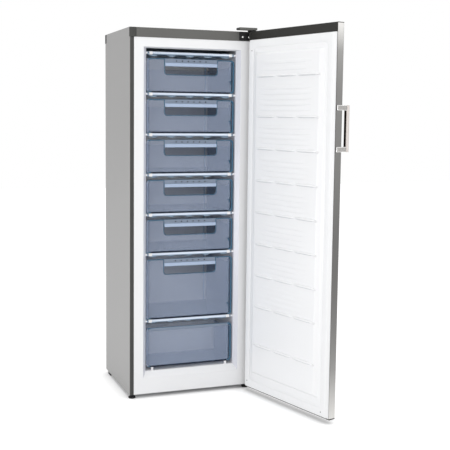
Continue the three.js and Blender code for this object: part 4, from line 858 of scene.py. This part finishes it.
def hump(first, last, level, height, rise, sunk=SUNK):
    rings = []
    for number in range(HUMP_SLICES + 1):
        share = number / HUMP_SLICES
        swell = math.sin(math.pi / 2 * min(min(share, 1 - share) / FADE, 1))
        u = first + (last - first) * share
        half = height / 2 * (END_HEIGHT + (1 - END_HEIGHT) * swell)
        out = rise * (END_RISE + (1 - END_RISE) * swell)
        angles = [math.pi * side / ARCH_SIDES for side in range(ARCH_SIDES + 1)]
        ring = [on_door(u, -FIELD_DEPTH - math.sin(a) * out, level - math.cos(a) * half) for a in angles]
        ring += [on_door(u, -FIELD_DEPTH + sunk, z) for z in (level + half, level - half)]
        rings.append(ring)
    form = bmesh.new()
    skin(form, rings)
    return form


def repeated(name, form, rows, row_step, columns=1, column_step=0):
    return evaluated(
        loose_object(name, form),
        repeat,
        Rows=rows,
        Row_step=(0, 0, row_step * MM),
        Columns=columns,
        Column_step=tuple(along_door * column_step * MM),
        Finish=white_liner,
    )


def ledges(level, rows):
    form = hump(RAIL_START, RAIL_START + RAIL_LENGTH, level, RAIL_HEIGHT, RAIL_RISE)
    return repeated("ledges", form, rows, RAIL_PITCH, RAIL_COLUMNS, RAIL_STEP)


def ledge_ends(level, rows):
    """The small step at a ledge's far end, where the mould's slide came out."""
    last = RAIL_START + (RAIL_COLUMNS - 1) * RAIL_STEP + RAIL_LENGTH
    return repeated("ledge_end", hump(last - 2, last + 8, level - 2, 9, 8.5, 1.6), rows, RAIL_PITCH)


def waves(level, height, rise, rows, row_step):
    return repeated("waves", hump(WAVE_START, WAVE_END, level, height, rise), rows, row_step)


door_forms = [waves(SECOND_RAIL + 32, 17, 2.0, 5, 24), waves(TOP_RAIL + 30, 18, 1.2, 2, 30)]
for number in range(1, EVEN_RAILS):
    fading_rise = 1.9 - 0.17 * (number + 1)
    door_forms.append(waves(SECOND_RAIL - number * RAIL_PITCH + 30, 15, fading_rise, 4, 23))
lowest_even_rail = SECOND_RAIL - (EVEN_RAILS - 1) * RAIL_PITCH
for level, rows in ((TOP_RAIL, 1), (lowest_even_rail, EVEN_RAILS), (LAST_RAIL, 1)):
    door_forms += [ledges(level, rows), ledge_ends(level, rows)]

UNDERSIDE = -0.5
plain_faces = len(door_back.faces)
for extra in door_forms:
    door_back.from_mesh(extra)
bmesh.ops.recalc_face_normals(door_back, faces=door_back.faces)
door_back.faces.ensure_lookup_table()
# The humps' undersides are painted in shade
for face in door_back.faces[plain_faces:]:
    face.material_index = 1 if face.normal.z < UNDERSIDE else 0
finishes = [white_liner, liner_shade]
back = piece("door_back", door_back, "door", finishes, ["door_liner"], smooth_angle=50)
print("the door's back has", len(back.data.polygons), "faces")

# %% [markdown]
# ## The seal
#
# The soft white seal is a hollow strip pushed into a groove. It has a foot, a fold that lets it
# give, and a flat box with a magnet inside. One cross-section runs round all four sides, so each
# of its points makes a rectangle, and the rectangles are skinned together into a closed frame.

# %% Door seal
SEAL_SECTION = [
    (17, 2.6), (39, 2.6), (41.5, 9.4), (47, 10.7), (45.5, 11.4), (41, 12.3), (36, 12.8), (20, 13.1),
    (17, 12.9), (14, 11.2), (10.5, 7.2), (7.5, 3.6), (6.6, 2.6), (8, 2.5), (12, 2.5),
]
SEAL_LOW, SEAL_HIGH = 15, 1670
PLUG_PLACES = [(32, 57), (559, 48), (36, 1609)]
PLUG_SHAPE = [(2.6, 12.6), (2.6, 13.2), (1.56, 13.4)]

seal = bmesh.new()
seal_rings = []
for inset, depth in SEAL_SECTION:
    low = max(SEAL_LOW + inset, LINER_LOW + 1)
    high = min(SEAL_HIGH - inset, LINER_HIGH - 1)
    seal_rings.append(door_ring(inset, low, high, depth, 3 + inset * 0.45))
skin(seal, seal_rings, closed_path=True)
for u, z in PLUG_PLACES:
    rings = [[on_door(u + a, -depth, z + b) for a, b in circle(r, 16)] for r, depth in PLUG_SHAPE]
    skin(seal, rings, material_index=1)
finishes = [seal_white, strip_grey]
piece("door_seal", seal, "door", finishes, ["door_gasket"], smooth_angle=50)
print(len(SEAL_SECTION), "points in the seal's section")

# %% [markdown]
# ## Brackets and screws
#
# The handle's two brackets are polished castings: a flat face with a rounded border, whose border
# and sides get a brighter metal as a painted highlight. The hinge is held by two domed screws with
# a cross recess, painted black as the shade in the recess.

# %% Handle brackets and hinge screws
SCREW_SHAPE = [(0.38, 2.4), (1, 2.4), (1, 1.7), (0.94, 1.0), (0.78, 0.45), (0.5, 0.1), (0.3, 0)]
SLOT_WIDTH, SLOT_REACH = 0.09, 0.42
SLOT_TOP, SLOT_FOOT = 0.02, 0.62
BROAD_SIDE = 0.9


def is_broad_side(centre, normal):
    return 0 if abs(normal.dot(along_door)) > BROAD_SIDE else 1


# The border and sides of each bracket get the brighter metal, a painted highlight
for end in ("upper", "lower"):
    bracket = softened(f"handle_bracket_{end}", 3, 3, [bright_steel, chrome_and_painted_highlight], is_broad_side)
    bracket.modifiers[-1].material = 1


def hinge_screw(number):
    low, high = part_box(f"hinge_screw_{number}")
    x, z = (low.x + high.x) / 2, (low.z + high.z) / 2
    radius = (high.x - low.x) / 2
    form = bmesh.new()
    shank = SCREW_SHAPE[0][0]
    shape = [(shank, high.y)] + [(share, low.y + depth * MM) for share, depth in SCREW_SHAPE]
    skin(form, [[(x + a, y, z + b) for a, b in circle(share * radius, 20)] for share, y in shape])
    arm, reach = SLOT_WIDTH * radius, SLOT_REACH * radius
    # The cross recess is painted black, as the shade in the recess
    for turn in (math.pi / 4, 3 * math.pi / 4):
        along = Vector((math.cos(turn), 0, math.sin(turn)))
        across = Vector((-math.sin(turn), 0, math.cos(turn)))
        rings = []
        for depth in (SLOT_TOP, SLOT_FOOT):
            middle = Vector((x, low.y + depth * MM, z))
            corners = [(-reach, -arm), (reach, -arm), (reach, arm), (-reach, arm)]
            rings.append([middle + along * a + across * b for a, b in corners])
        skin(form, rings, material_index=1)
    name, finishes = f"domed_screw_{number}", [chrome_and_painted_highlight, black_plastic]
    piece(name, form, "cabinet", finishes, [f"hinge_screw_{number}"])


for number in (1, 2):
    hinge_screw(number)
print("2 brackets and 2 screws")

# %% [markdown]
# ## Tubes and wires
#
# The shelves are the cold part of the machine: a tube folded back and forth, with thin rods
# welded across it. The condenser on the back is the same idea with upright wires. One tree
# serves both. It sweeps a round section along a drawn path and lays a row of straight rods over
# it. A path is listed by its corners, and each corner is rounded before the tree sees it.

# %% A tree that makes a tube with rods across it
tube_tree, given = open_group(
    "tube_and_rods",
    "GeometryNodeTree",
    [
        ("Geometry", GEOMETRY, None),
        ("Tube radius", NUMBER, 0.004),
        ("Rod radius", NUMBER, 0.0015),
        ("Rod length", NUMBER, 0.4),
        ("Rod direction", VECTOR, (1, 0, 0)),
        ("Rods", COUNT, 0),
        ("First rod", VECTOR, (0, 0, 0)),
        ("Rod step", VECTOR, (0, 0.1, 0)),
        ("Finish", MATERIAL, None),
    ],
    [("Geometry", GEOMETRY)],
)
section_inputs = {"Resolution": 14, "Radius": given["Tube radius"]}
section = node(tube_tree, "GeometryNodeCurvePrimitiveCircle", "round section", section_inputs)
sweep = {"Curve": given["Geometry"], "Profile Curve": section.outputs["Curve"], "Fill Caps": True}
tube = node(tube_tree, "GeometryNodeCurveToMesh", "tube along the path", sweep)
rod_inputs = {"Vertices": 8, "Radius": given["Rod radius"], "Depth": given["Rod length"]}
rod = node(tube_tree, "GeometryNodeMeshCylinder", "one rod", rod_inputs).outputs["Mesh"]
aim = {"Vector": given["Rod direction"]}
turn = node(tube_tree, "FunctionNodeAlignRotationToVector", "", aim, axis="Z")
row_inputs = {"Count": given["Rods"], "Start_Location": given["First rod"]}
row = line_of_points(tube_tree, Offset=given["Rod step"], **row_inputs)
rods = copies_on(tube_tree, "a rod at each place", row, rod, Rotation=turn.outputs["Rotation"])
both = node(tube_tree, "GeometryNodeJoinGeometry", "", {"Geometry": rods})
tube_tree.links.new(tube.outputs["Mesh"], both.inputs["Geometry"])
finish_tree(tube_tree, both.outputs["Geometry"], given["Finish"])
print("tube_and_rods has", len(tube_tree.nodes), "nodes")


# %% Rounded paths
def rounded_path(corners, bend, steps=8):
    places = [Vector(corner) for corner in corners]
    path = [places[0]]
    for before, here, after in zip(places, places[1:], places[2:]):
        back = (before - here).normalized() * bend
        ahead = (after - here).normalized() * bend
        for step in range(steps + 1):
            turn = math.pi / 2 * step / steps
            path.append(here + back * (1 - math.sin(turn)) + ahead * (1 - math.cos(turn)))
    path.append(places[-1])
    pairs = zip(path, path[1:])
    return path[:1] + [point for previous, point in pairs if (point - previous).length > 0.01]


def path_object(name, paths):
    curve = bpy.data.curves.new(name, "CURVE")
    curve.dimensions = "3D"
    for path in paths:
        line = curve.splines.new("POLY")
        line.points.add(len(path) - 1)
        for point, place in zip(line.points, path):
            point.co = (*on_cabinet(*place), 1)
    made = bpy.data.objects.new(name, curve)
    scene.collection.objects.link(made)
    return made


def tubes(name, paths, diameter, slot, finishes, stands_for, paint=None, **rods):
    source = path_object(name + "_path", paths)
    mesh = evaluated(source, tube_tree, Tube_radius=diameter / 2 * MM, Finish=finishes[0], **rods)
    if paint:
        mesh.polygons.foreach_set("material_index", [paint(face.center) for face in mesh.polygons])
    return dress(name, mesh, "cabinet", finishes, stands_for, smooth_angle=50)


# %% The seven evaporator shelves
SHELF_LEVELS = [1598 - 184.6 * step for step in range(6)]
SHELF_LEVELS.append(SHELF_LEVELS[5] - 313)
SHELF_TUBE, TUBE_DROP = 8, 6.2
BEND_DIP, DIP_RUN = 11, 24
PASS_PITCH, PASSES = 44, 10
SHELF_HALF = PASS_PITCH * (PASSES - 1) / 2
SHELF_NEAR, SHELF_FAR, SHELF_END = 44, 374, 395.7
ROD_NEAR, ROD_FAR, ROD_HALF, ROD_RADIUS, ROD_COUNT = 41, 360, 213, 1.5, 12


def shelf_path(level):
    z = level - TUBE_DROP
    corners = [(-SHELF_HALF, SHELF_END, z)]
    for index in range(PASSES - 1):
        x = -SHELF_HALF + index * PASS_PITCH
        y = SHELF_NEAR if index % 2 == 0 else SHELF_FAR
        corners += [(x, y, z), (x + PASS_PITCH, y, z)]
    path = rounded_path(corners + [(SHELF_HALF, SHELF_END, z)], PASS_PITCH / 2)
    for point in path:
        nearness = max(0, 1 - (point.y - SHELF_NEAR) / DIP_RUN)
        point.z -= BEND_DIP * math.sin(math.pi / 2 * min(nearness, 1)) ** 2
    return path


for number, level in enumerate(SHELF_LEVELS, 1):
    rods = {
        "Rod_radius": ROD_RADIUS * MM,
        "Rod_length": 2 * ROD_HALF * MM,
        "Rod_direction": (1, 0, 0),
        "Rods": ROD_COUNT,
        "First_rod": tuple(on_cabinet(0, ROD_NEAR, level - ROD_RADIUS)),
        "Rod_step": (0, (ROD_FAR - ROD_NEAR) / (ROD_COUNT - 1) * MM, 0),
    }
    name, path, finishes = f"cold_shelf_{number}", shelf_path(level), [white_enamel_in_painted_shade]
    tubes(name, [path], SHELF_TUBE, "white_wire", finishes, [f"shelf_{number}"], **rods)
print(len(SHELF_LEVELS), "shelves")

# %% [markdown]
# ## Shelf bars
#
# A pale moulded bar clips over the front of each shelf. Its front is softly rounded, and a
# thicker clip at each end holds it to the tube.

# %% Shelf bars
BAR_FRONT, BAR_BACK, BAR_HEIGHT, BAR_HALF = 26, 39.2, 15, 208.7
CLIP, HOOK, CLIP_GROWTH = 15, 8, 0.8
SHADED_PART = 0.66


def bar_ring(x, level, grow):
    low, high = level - BAR_HEIGHT + CLIP_GROWTH - grow, level - CLIP_GROWTH + grow
    outline = rounded_rectangle(BAR_FRONT + CLIP_GROWTH - grow, BAR_BACK, low, high, 4, 5)
    return [on_cabinet(x, y, z) for y, z in outline]


def shelf_bar(number, level):
    end = BAR_HALF - HOOK
    stations = [(-end, -0.6), (0.8 - end, CLIP_GROWTH), (CLIP - end, CLIP_GROWTH), (CLIP + 1.2 - end, 0)]
    stations += [(-x, grow) for x, grow in reversed(stations)]
    form = bmesh.new()
    skin(form, [bar_ring(x, level, grow) for x, grow in stations])
    # Below this height the bar's front is painted in shade
    shade_below = on_cabinet(0, 0, level - BAR_HEIGHT * SHADED_PART).z
    for face in form.faces:
        centre = face.calc_center_median()
        if abs(centre.x - CABINET_MIDDLE) > (end - CLIP - 2) * MM:
            face.material_index = 2
        elif centre.z < shade_below:
            face.material_index = 1
    hook = rounded_rectangle(BAR_FRONT + 3, BAR_BACK - 2, level - BAR_HEIGHT + 2, level - 5, 2, 4)
    # The hooks are painted in shade too
    for side in (-1, 1):
        rings = [[on_cabinet(x, y, z) for y, z in hook] for x in (side * (end - 1), side * BAR_HALF)]
        skin(form, rings, material_index=1)
    finishes = [pale_bar, bar_shade, white_liner]
    piece(f"pale_shelf_bar_{number}", form, "cabinet", finishes, [f"shelf_bar_{number}"])


for number, level in enumerate(SHELF_LEVELS, 1):
    shelf_bar(number, level)
print(len(SHELF_LEVELS), "bars")

# %% [markdown]
# ## The drawers
#
# A drawer is a thin box with generous corners, moulded in one shot. Its front stands taller than
# its sides, and both meet in a short slope. The box is skinned from the rim down to the floor,
# the corner above the sides is sliced away, and a Solidify modifier gives the wall its
# thickness. The hand hole is then cut with a Boolean, because a rounded hole through a finished
# wall is much easier to cut than to plank round.

# %% A drawer's shell
DRAWER_HALF, DRAWER_FRONT, WALL = 205, 30, 2.5
CORNER_RADIUS, FLOOR_RADIUS, FLOOR_STEPS = 14, 13, 6
SIDE_DROP, SLOPE_START, SLOPE_RUN = 34, 14, 36
NEARLY_ZERO = 1e-5


def drawer_ring(inset, z, back):
    half, near, far = DRAWER_HALF - inset, DRAWER_FRONT + inset, back - inset
    outline = rounded_rectangle(-half, half, near, far, max(CORNER_RADIUS - inset, 1.5), 6)
    return [on_cabinet(x, y, z) for x, y in outline]


def drawer_shell(floor, top, back):
    rings = [drawer_ring(0, top, back), drawer_ring(0, floor + FLOOR_RADIUS, back)]
    for step in range(1, FLOOR_STEPS + 1):
        turn = math.pi / 2 * step / FLOOR_STEPS
        inset = FLOOR_RADIUS * (1 - math.cos(turn))
        rings.append(drawer_ring(inset, floor + FLOOR_RADIUS * (1 - math.sin(turn)), back))
    form = bmesh.new()
    skin(form, rings, close_first=False)
    slope_low = on_cabinet(0, DRAWER_FRONT + SLOPE_START + SLOPE_RUN, top - SIDE_DROP)
    slope_high = on_cabinet(0, DRAWER_FRONT + SLOPE_START, top)
    slope_normal = Vector((0, SIDE_DROP, SLOPE_RUN)).normalized()
    for point, normal in ((slope_low, Vector((0, 0, 1))), (slope_high, slope_normal)):
        everything = [*form.verts, *form.edges, *form.faces]
        bmesh.ops.bisect_plane(form, geom=everything, plane_co=point, plane_no=normal, dist=SAME_POINT)
    spare = []
    for face in form.faces:
        centre = face.calc_center_median()
        above_sides = (centre - slope_low).z > NEARLY_ZERO
        if above_sides and (centre - slope_high).dot(slope_normal) > NEARLY_ZERO:
            spare.append(face)
    bmesh.ops.delete(form, geom=spare, context="FACES")
    return form


# %% Thick walls, hand hole and rounded rim
HOLE_HALF, STRIP, LIP, HOLE, HOLE_CORNER = 127, 19, 16.5, 36.5, 14
RIM_ROUNDING, CUTTER_REACH = 0.8, 8


def hole_outline(top, grow=0):
    low, high = top - STRIP - LIP - HOLE - grow, top - STRIP - LIP + 0.5
    a, r = HOLE_HALF + grow, HOLE_CORNER + grow
    return [(a, high), (-a, high)] + quarter(r - a, low + r, r, 180) + quarter(a - r, low + r, r, 270)


def hole_cutter(top):
    form = bmesh.new()
    outline = hole_outline(top)
    depths = (DRAWER_FRONT - CUTTER_REACH, DRAWER_FRONT + CUTTER_REACH)
    skin(form, [[on_cabinet(x, y, z) for x, z in outline] for y in depths])
    return loose_object("hole_cutter", form)


def finished_shell(form, top, with_hole):
    box = loose_object("drawer_box", form)
    walls = box.modifiers.new("walls", "SOLIDIFY")
    walls.thickness = WALL * MM
    walls.offset = -1
    walls.use_even_offset = True
    cutter = hole_cutter(top) if with_hole else None
    if cutter:
        hand_hole = box.modifiers.new("hand_hole", "BOOLEAN")
        hand_hole.operation = "DIFFERENCE"
        hand_hole.solver = "EXACT"
        hand_hole.object = cutter
    round_edges(box, RIM_ROUNDING, 2, angle=50)
    mesh = baked(box)
    if cutter:
        bpy.data.objects.remove(cutter)
    return mesh


# %% [markdown]
# The grip is a frosted strip with a row of small dimples, a bright rounded lip under it, and a
# raised rib that frames the hole. The rib follows a path, so it is one more use for a tree: a
# small rounded section swept along the hole's outline.

# %% Grip strip, lip, dimples and rib
CLEAR, TEAL, FROST, BRIGHT, PAINTED_SHADE = range(5)
FLANGE, FRAME = 7.5, 8.5
FLANGE_SECTION = [(0.8, -0.2), (0, 0.6), (0, 2.6), (FRAME, 2.6), (FRAME, -0.2)]
FLATTER, CLEAR_EDGE = 0.6, 4
CATCH_PARTS = [(42, 58, 9, 13), (54, 58, 9, 19)]
DOT_PITCH, DOTS, DOT_RADIUS = 28.5, 6, 3.2
DOT_SHAPE = [(-0.4, DOT_RADIUS), (-1.1, DOT_RADIUS), (-1.4, DOT_RADIUS * 0.7)]
RIB_RADIUS, RIB_OUT = 2, 1.2


def on_front(x, y, z):
    return on_cabinet(x, DRAWER_FRONT + y, z)


def band(form, half, section, material_index):
    """A straight bar across the front. Its section is near, far, low, high, corner radius."""
    outline = rounded_rectangle(*section, 5)
    rings = [[on_front(x, y, z) for y, z in outline] for x in (-half, -half / 2, 0, half / 2, half)]
    skin(form, rings, material_index=material_index)


def front_frame(form, floor, top):
    """A narrow flange round the front, a little wider than the box."""
    rings = []
    for inset, y in FLANGE_SECTION:
        half, rim = DRAWER_HALF + FLANGE - inset, FLATTER * inset
        outline = rounded_rectangle(-half, half, floor + rim, top - rim, CORNER_RADIUS, 5)
        rings.append([on_front(x, y, z) for x, z in outline])
    first = len(form.faces)
    skin(form, rings, closed_path=True)
    form.faces.ensure_lookup_table()
    left_side = on_front(CLEAR_EDGE - DRAWER_HALF, 0, 0).x
    for face in form.faces[first:]:
        face.material_index = CLEAR if face.calc_center_median().x < left_side else TEAL


def catch(form, floor):
    """The catch moulded beside the front's right edge."""
    for low, high, near_edge, far_edge in CATCH_PARTS:
        x0, x1 = DRAWER_HALF - far_edge, DRAWER_HALF - near_edge
        outline = rounded_rectangle(x0, x1, floor + low, floor + high, 0.8, 3)
        skin(form, [[on_front(x, y, z) for x, z in outline] for y in (-1.1, 0.4)], material_index=TEAL)


def dimples(top):
    form = bmesh.new()
    x, z = -DOT_PITCH * (DOTS - 1) / 2, top - STRIP * 0.55
    skin(form, [[on_front(x + a, y, z + b) for a, b in circle(r, 12)] for y, r in DOT_SHAPE])
    source, step = loose_object("dimple", form), (DOT_PITCH * MM, 0, 0)
    return evaluated(source, repeat, Columns=DOTS, Column_step=step, Finish=drawer_rim)


def hole_rib(top):
    end_x, end_z = HOLE_HALF + RIB_OUT, top - 1.5
    outline = [(-end_x, end_z)] + hole_outline(top, grow=RIB_OUT)[1:] + [(end_x, end_z)]
    source = path_object("rib_path", [[(x, DRAWER_FRONT - 0.2, z) for x, z in outline]])
    return evaluated(source, tube_tree, Tube_radius=RIB_RADIUS * MM, Finish=drawer_rim)


def add_mesh(form, mesh, material_index):
    start = len(form.faces)
    form.from_mesh(mesh)
    form.faces.ensure_lookup_table()
    for face in form.faces[start:]:
        face.material_index = material_index


def add_grip(form, floor, top):
    lip_top, lip_low = top - STRIP, top - STRIP - LIP
    band(form, HOLE_HALF - 1, (-0.8, 0.6, lip_top - 1, top - 1.2, 0.6), FROST)
    band(form, HOLE_HALF - 1, (-4.8, 2, lip_low, lip_top, 3.2), BRIGHT)
    # The dimples are painted dark, as the shade in their hollows
    add_mesh(form, dimples(top), PAINTED_SHADE)
    add_mesh(form, hole_rib(top), TEAL)
    catch(form, floor)


# %% [markdown]
# The finished shell, the flange and the grip make one piece. Its upward edges and its right front
# corner are teal, because there the plastic is seen along its thickness, and a band of painted
# shadow lies under the front.

# %% Seven drawers
DRAWER_DEPTH, LAST_DEPTH, LAST_FLOOR = 350, 222, 135
GAP_ABOVE, LAST_GAP_ABOVE = 15, 25
DRAWER_LIFT, TEAL_ABOVE, TEAL_EDGE = 0.3, 60, 6


def drawer(number, floor, top, depth, with_grip):
    shell = finished_shell(drawer_shell(floor, top, DRAWER_FRONT + depth), top, with_grip)
    form = bmesh.new()
    add_mesh(form, shell, CLEAR)
    front_frame(form, floor, top)
    edge = on_front(DRAWER_HALF - TEAL_EDGE, CORNER_RADIUS + 2, floor + TEAL_ABOVE)
    for face in form.faces:
        centre = face.calc_center_median()
        in_corner = centre.x > edge.x and centre.y < edge.y
        if in_corner or (face.normal.z > 0.7 and centre.z > edge.z):
            face.material_index = TEAL
    half = DRAWER_HALF - CORNER_RADIUS
    # A band along the foot of the front, painted as the shadow under the drawer
    band(form, half, (-1, 2, floor + 0.1, floor + 5.2, 0.6), PAINTED_SHADE)
    band(form, half, (-0.7, 0.6, top - 3, top - 0.4, 0.5), TEAL)
    if with_grip:
        add_grip(form, floor, top)
    else:
        band(form, half, (-0.6, 0.6, top - 16, top - 1.2, 0.5), FROST)
    name, body = f"clear_drawer_{number}", f"drawer_{number}"
    finishes = [drawer_wall, drawer_rim, drawer_frost, drawer_lip, drawer_painted_shade]
    return dress(name, mesh_of(name, form), body, finishes, [body])


for number in range(1, 7):
    drawer_floor = SHELF_LEVELS[number] + DRAWER_LIFT
    drawer_top = SHELF_LEVELS[number - 1] - BAR_HEIGHT - GAP_ABOVE
    drawer(number, drawer_floor, drawer_top, DRAWER_DEPTH, True)
last = drawer(7, LAST_FLOOR, SHELF_LEVELS[6] - BAR_HEIGHT - LAST_GAP_ABOVE, LAST_DEPTH, False)
print("the last drawer has", len(last.data.polygons), "faces")

# %% [markdown]
# ## The machine behind
#
# Behind the back panel hangs the condenser: one long tube folded from side to side, with a row
# of thin upright wires welded to it so that it gives off its heat. Below it stand the compressor
# and the small filter drier, joined by bare copper pipes.

# %% Condenser
CONDENSER_Y, CONDENSER_HALF, CONDENSER_TOP = 488, 232, 1600
CONDENSER_PITCH, CONDENSER_PASSES, CONDENSER_TUBE = 74, 15, 6
LOWEST_PASS = CONDENSER_TOP - (CONDENSER_PASSES - 1) * CONDENSER_PITCH
DRIER_X, DRIER_LOW, DRIER_LENGTH, DRIER_LOOP, JOINT_GAP = 240, 112, 90, 30, 0.3
WIRES, WIRE_PITCH, WIRE_RADIUS, WIRE_OVERLAP, WIRE_BEHIND = 39, 10, 0.9, 18, 3.2


def condenser_path():
    corners = [(-CONDENSER_HALF - CONDENSER_TUBE, CONDENSER_Y, CONDENSER_TOP)]
    for index in range(CONDENSER_PASSES - 1):
        x = CONDENSER_HALF if index % 2 == 0 else -CONDENSER_HALF
        z = CONDENSER_TOP - index * CONDENSER_PITCH
        corners += [(x, CONDENSER_Y, z), (x, CONDENSER_Y, z - CONDENSER_PITCH)]
    corners.append((DRIER_X, CONDENSER_Y, LOWEST_PASS))
    corners.append((DRIER_X, CONDENSER_Y, DRIER_LOW + DRIER_LENGTH + JOINT_GAP))
    return rounded_path(corners, CONDENSER_PITCH / 2)


first_x, middle_z = -WIRE_PITCH * (WIRES - 1) / 2, (CONDENSER_TOP + LOWEST_PASS) / 2
wires = {
    "Rod_radius": WIRE_RADIUS * MM,
    "Rod_length": (CONDENSER_TOP - LOWEST_PASS + 2 * WIRE_OVERLAP) * MM,
    "Rod_direction": (0, 0, 1),
    "Rods": WIRES,
    "First_rod": tuple(on_cabinet(first_x, CONDENSER_Y + WIRE_BEHIND, middle_z)),
    "Rod_step": (WIRE_PITCH * MM, 0, 0),
}
grid, finishes = [condenser_path()], [black_enamel]
tubes("condenser_grid", grid, CONDENSER_TUBE, "black_steel", finishes, [], **wires)
print(WIRES, "wires")

# %% Pipes
PIPE_BEND, PIPE = 20, 8
RISER_Y, RISER_EXIT, RISER_TOP = 400, 440, SHELF_LEVELS[0] - TUBE_DROP + 6
LOWEST_SHELF = SHELF_LEVELS[6] - TUBE_DROP - 4
FEED_LOW = DRIER_LOW - DRIER_LOOP
SUCTION_LOW, SUCTION_Y, SUCTION_END = 150, 386, -148.3
DISCHARGE_LOW, DISCHARGE_NEAR, DISCHARGE_X, DISCHARGE_START = 110, 459.3, -262, -60
GRID_INLET = -238.3


def riser(side):
    x = side * SHELF_HALF
    return [(x, RISER_Y, LOWEST_SHELF), (x, RISER_Y, RISER_EXIT + PIPE_BEND)]


def route(start, *turns):
    """A pipe's rounded path. Each turn names the one coordinate that changes on the way to it."""
    corners = [Vector(start)]
    for axis, value in turns:
        corners.append(corners[-1].copy())
        setattr(corners[-1], axis, value)
    return rounded_path(corners, PIPE_BEND)


to_shelves = [("z", FEED_LOW), ("x", SHELF_HALF), ("z", RISER_EXIT), ("y", RISER_Y), ("z", RISER_TOP)]
feed = route((DRIER_X, CONDENSER_Y, DRIER_LOW - JOINT_GAP), *to_shelves)
to_floor = [("z", RISER_EXIT), ("y", CONDENSER_Y), ("z", SUCTION_LOW)]
to_compressor = [("y", SUCTION_Y), ("x", SUCTION_END)]
suction = route((-SHELF_HALF, RISER_Y, RISER_TOP), *to_floor, *to_compressor)
to_grid = [("y", CONDENSER_Y), ("x", DISCHARGE_X), ("z", CONDENSER_TOP), ("x", GRID_INLET)]
discharge = route((DISCHARGE_START, DISCHARGE_NEAR, DISCHARGE_LOW), *to_grid)
inside_edge = on_cabinet(0, RISER_Y + 6, LOWEST_SHELF - 2)


def is_inside(centre):
    return 1 if centre.y < inside_edge.y and centre.z > inside_edge.z else 0


for name, path, side in (("feed", feed, 1), ("suction", suction, -1)):
    paths, finishes = [path, riser(side)], [copper, white_enamel_in_painted_shade]
    tubes(f"copper_{name}", paths, PIPE, "copper", finishes, [f"{name}_pipe"], paint=is_inside)
tubes("copper_discharge", [discharge], CONDENSER_TUBE, "copper", [copper], ["discharge_pipe"])
print("3 pipes")

# %% The size of the visual frame
low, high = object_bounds()
print("visual box", [round(x, 4) for x in (*low, *high)])
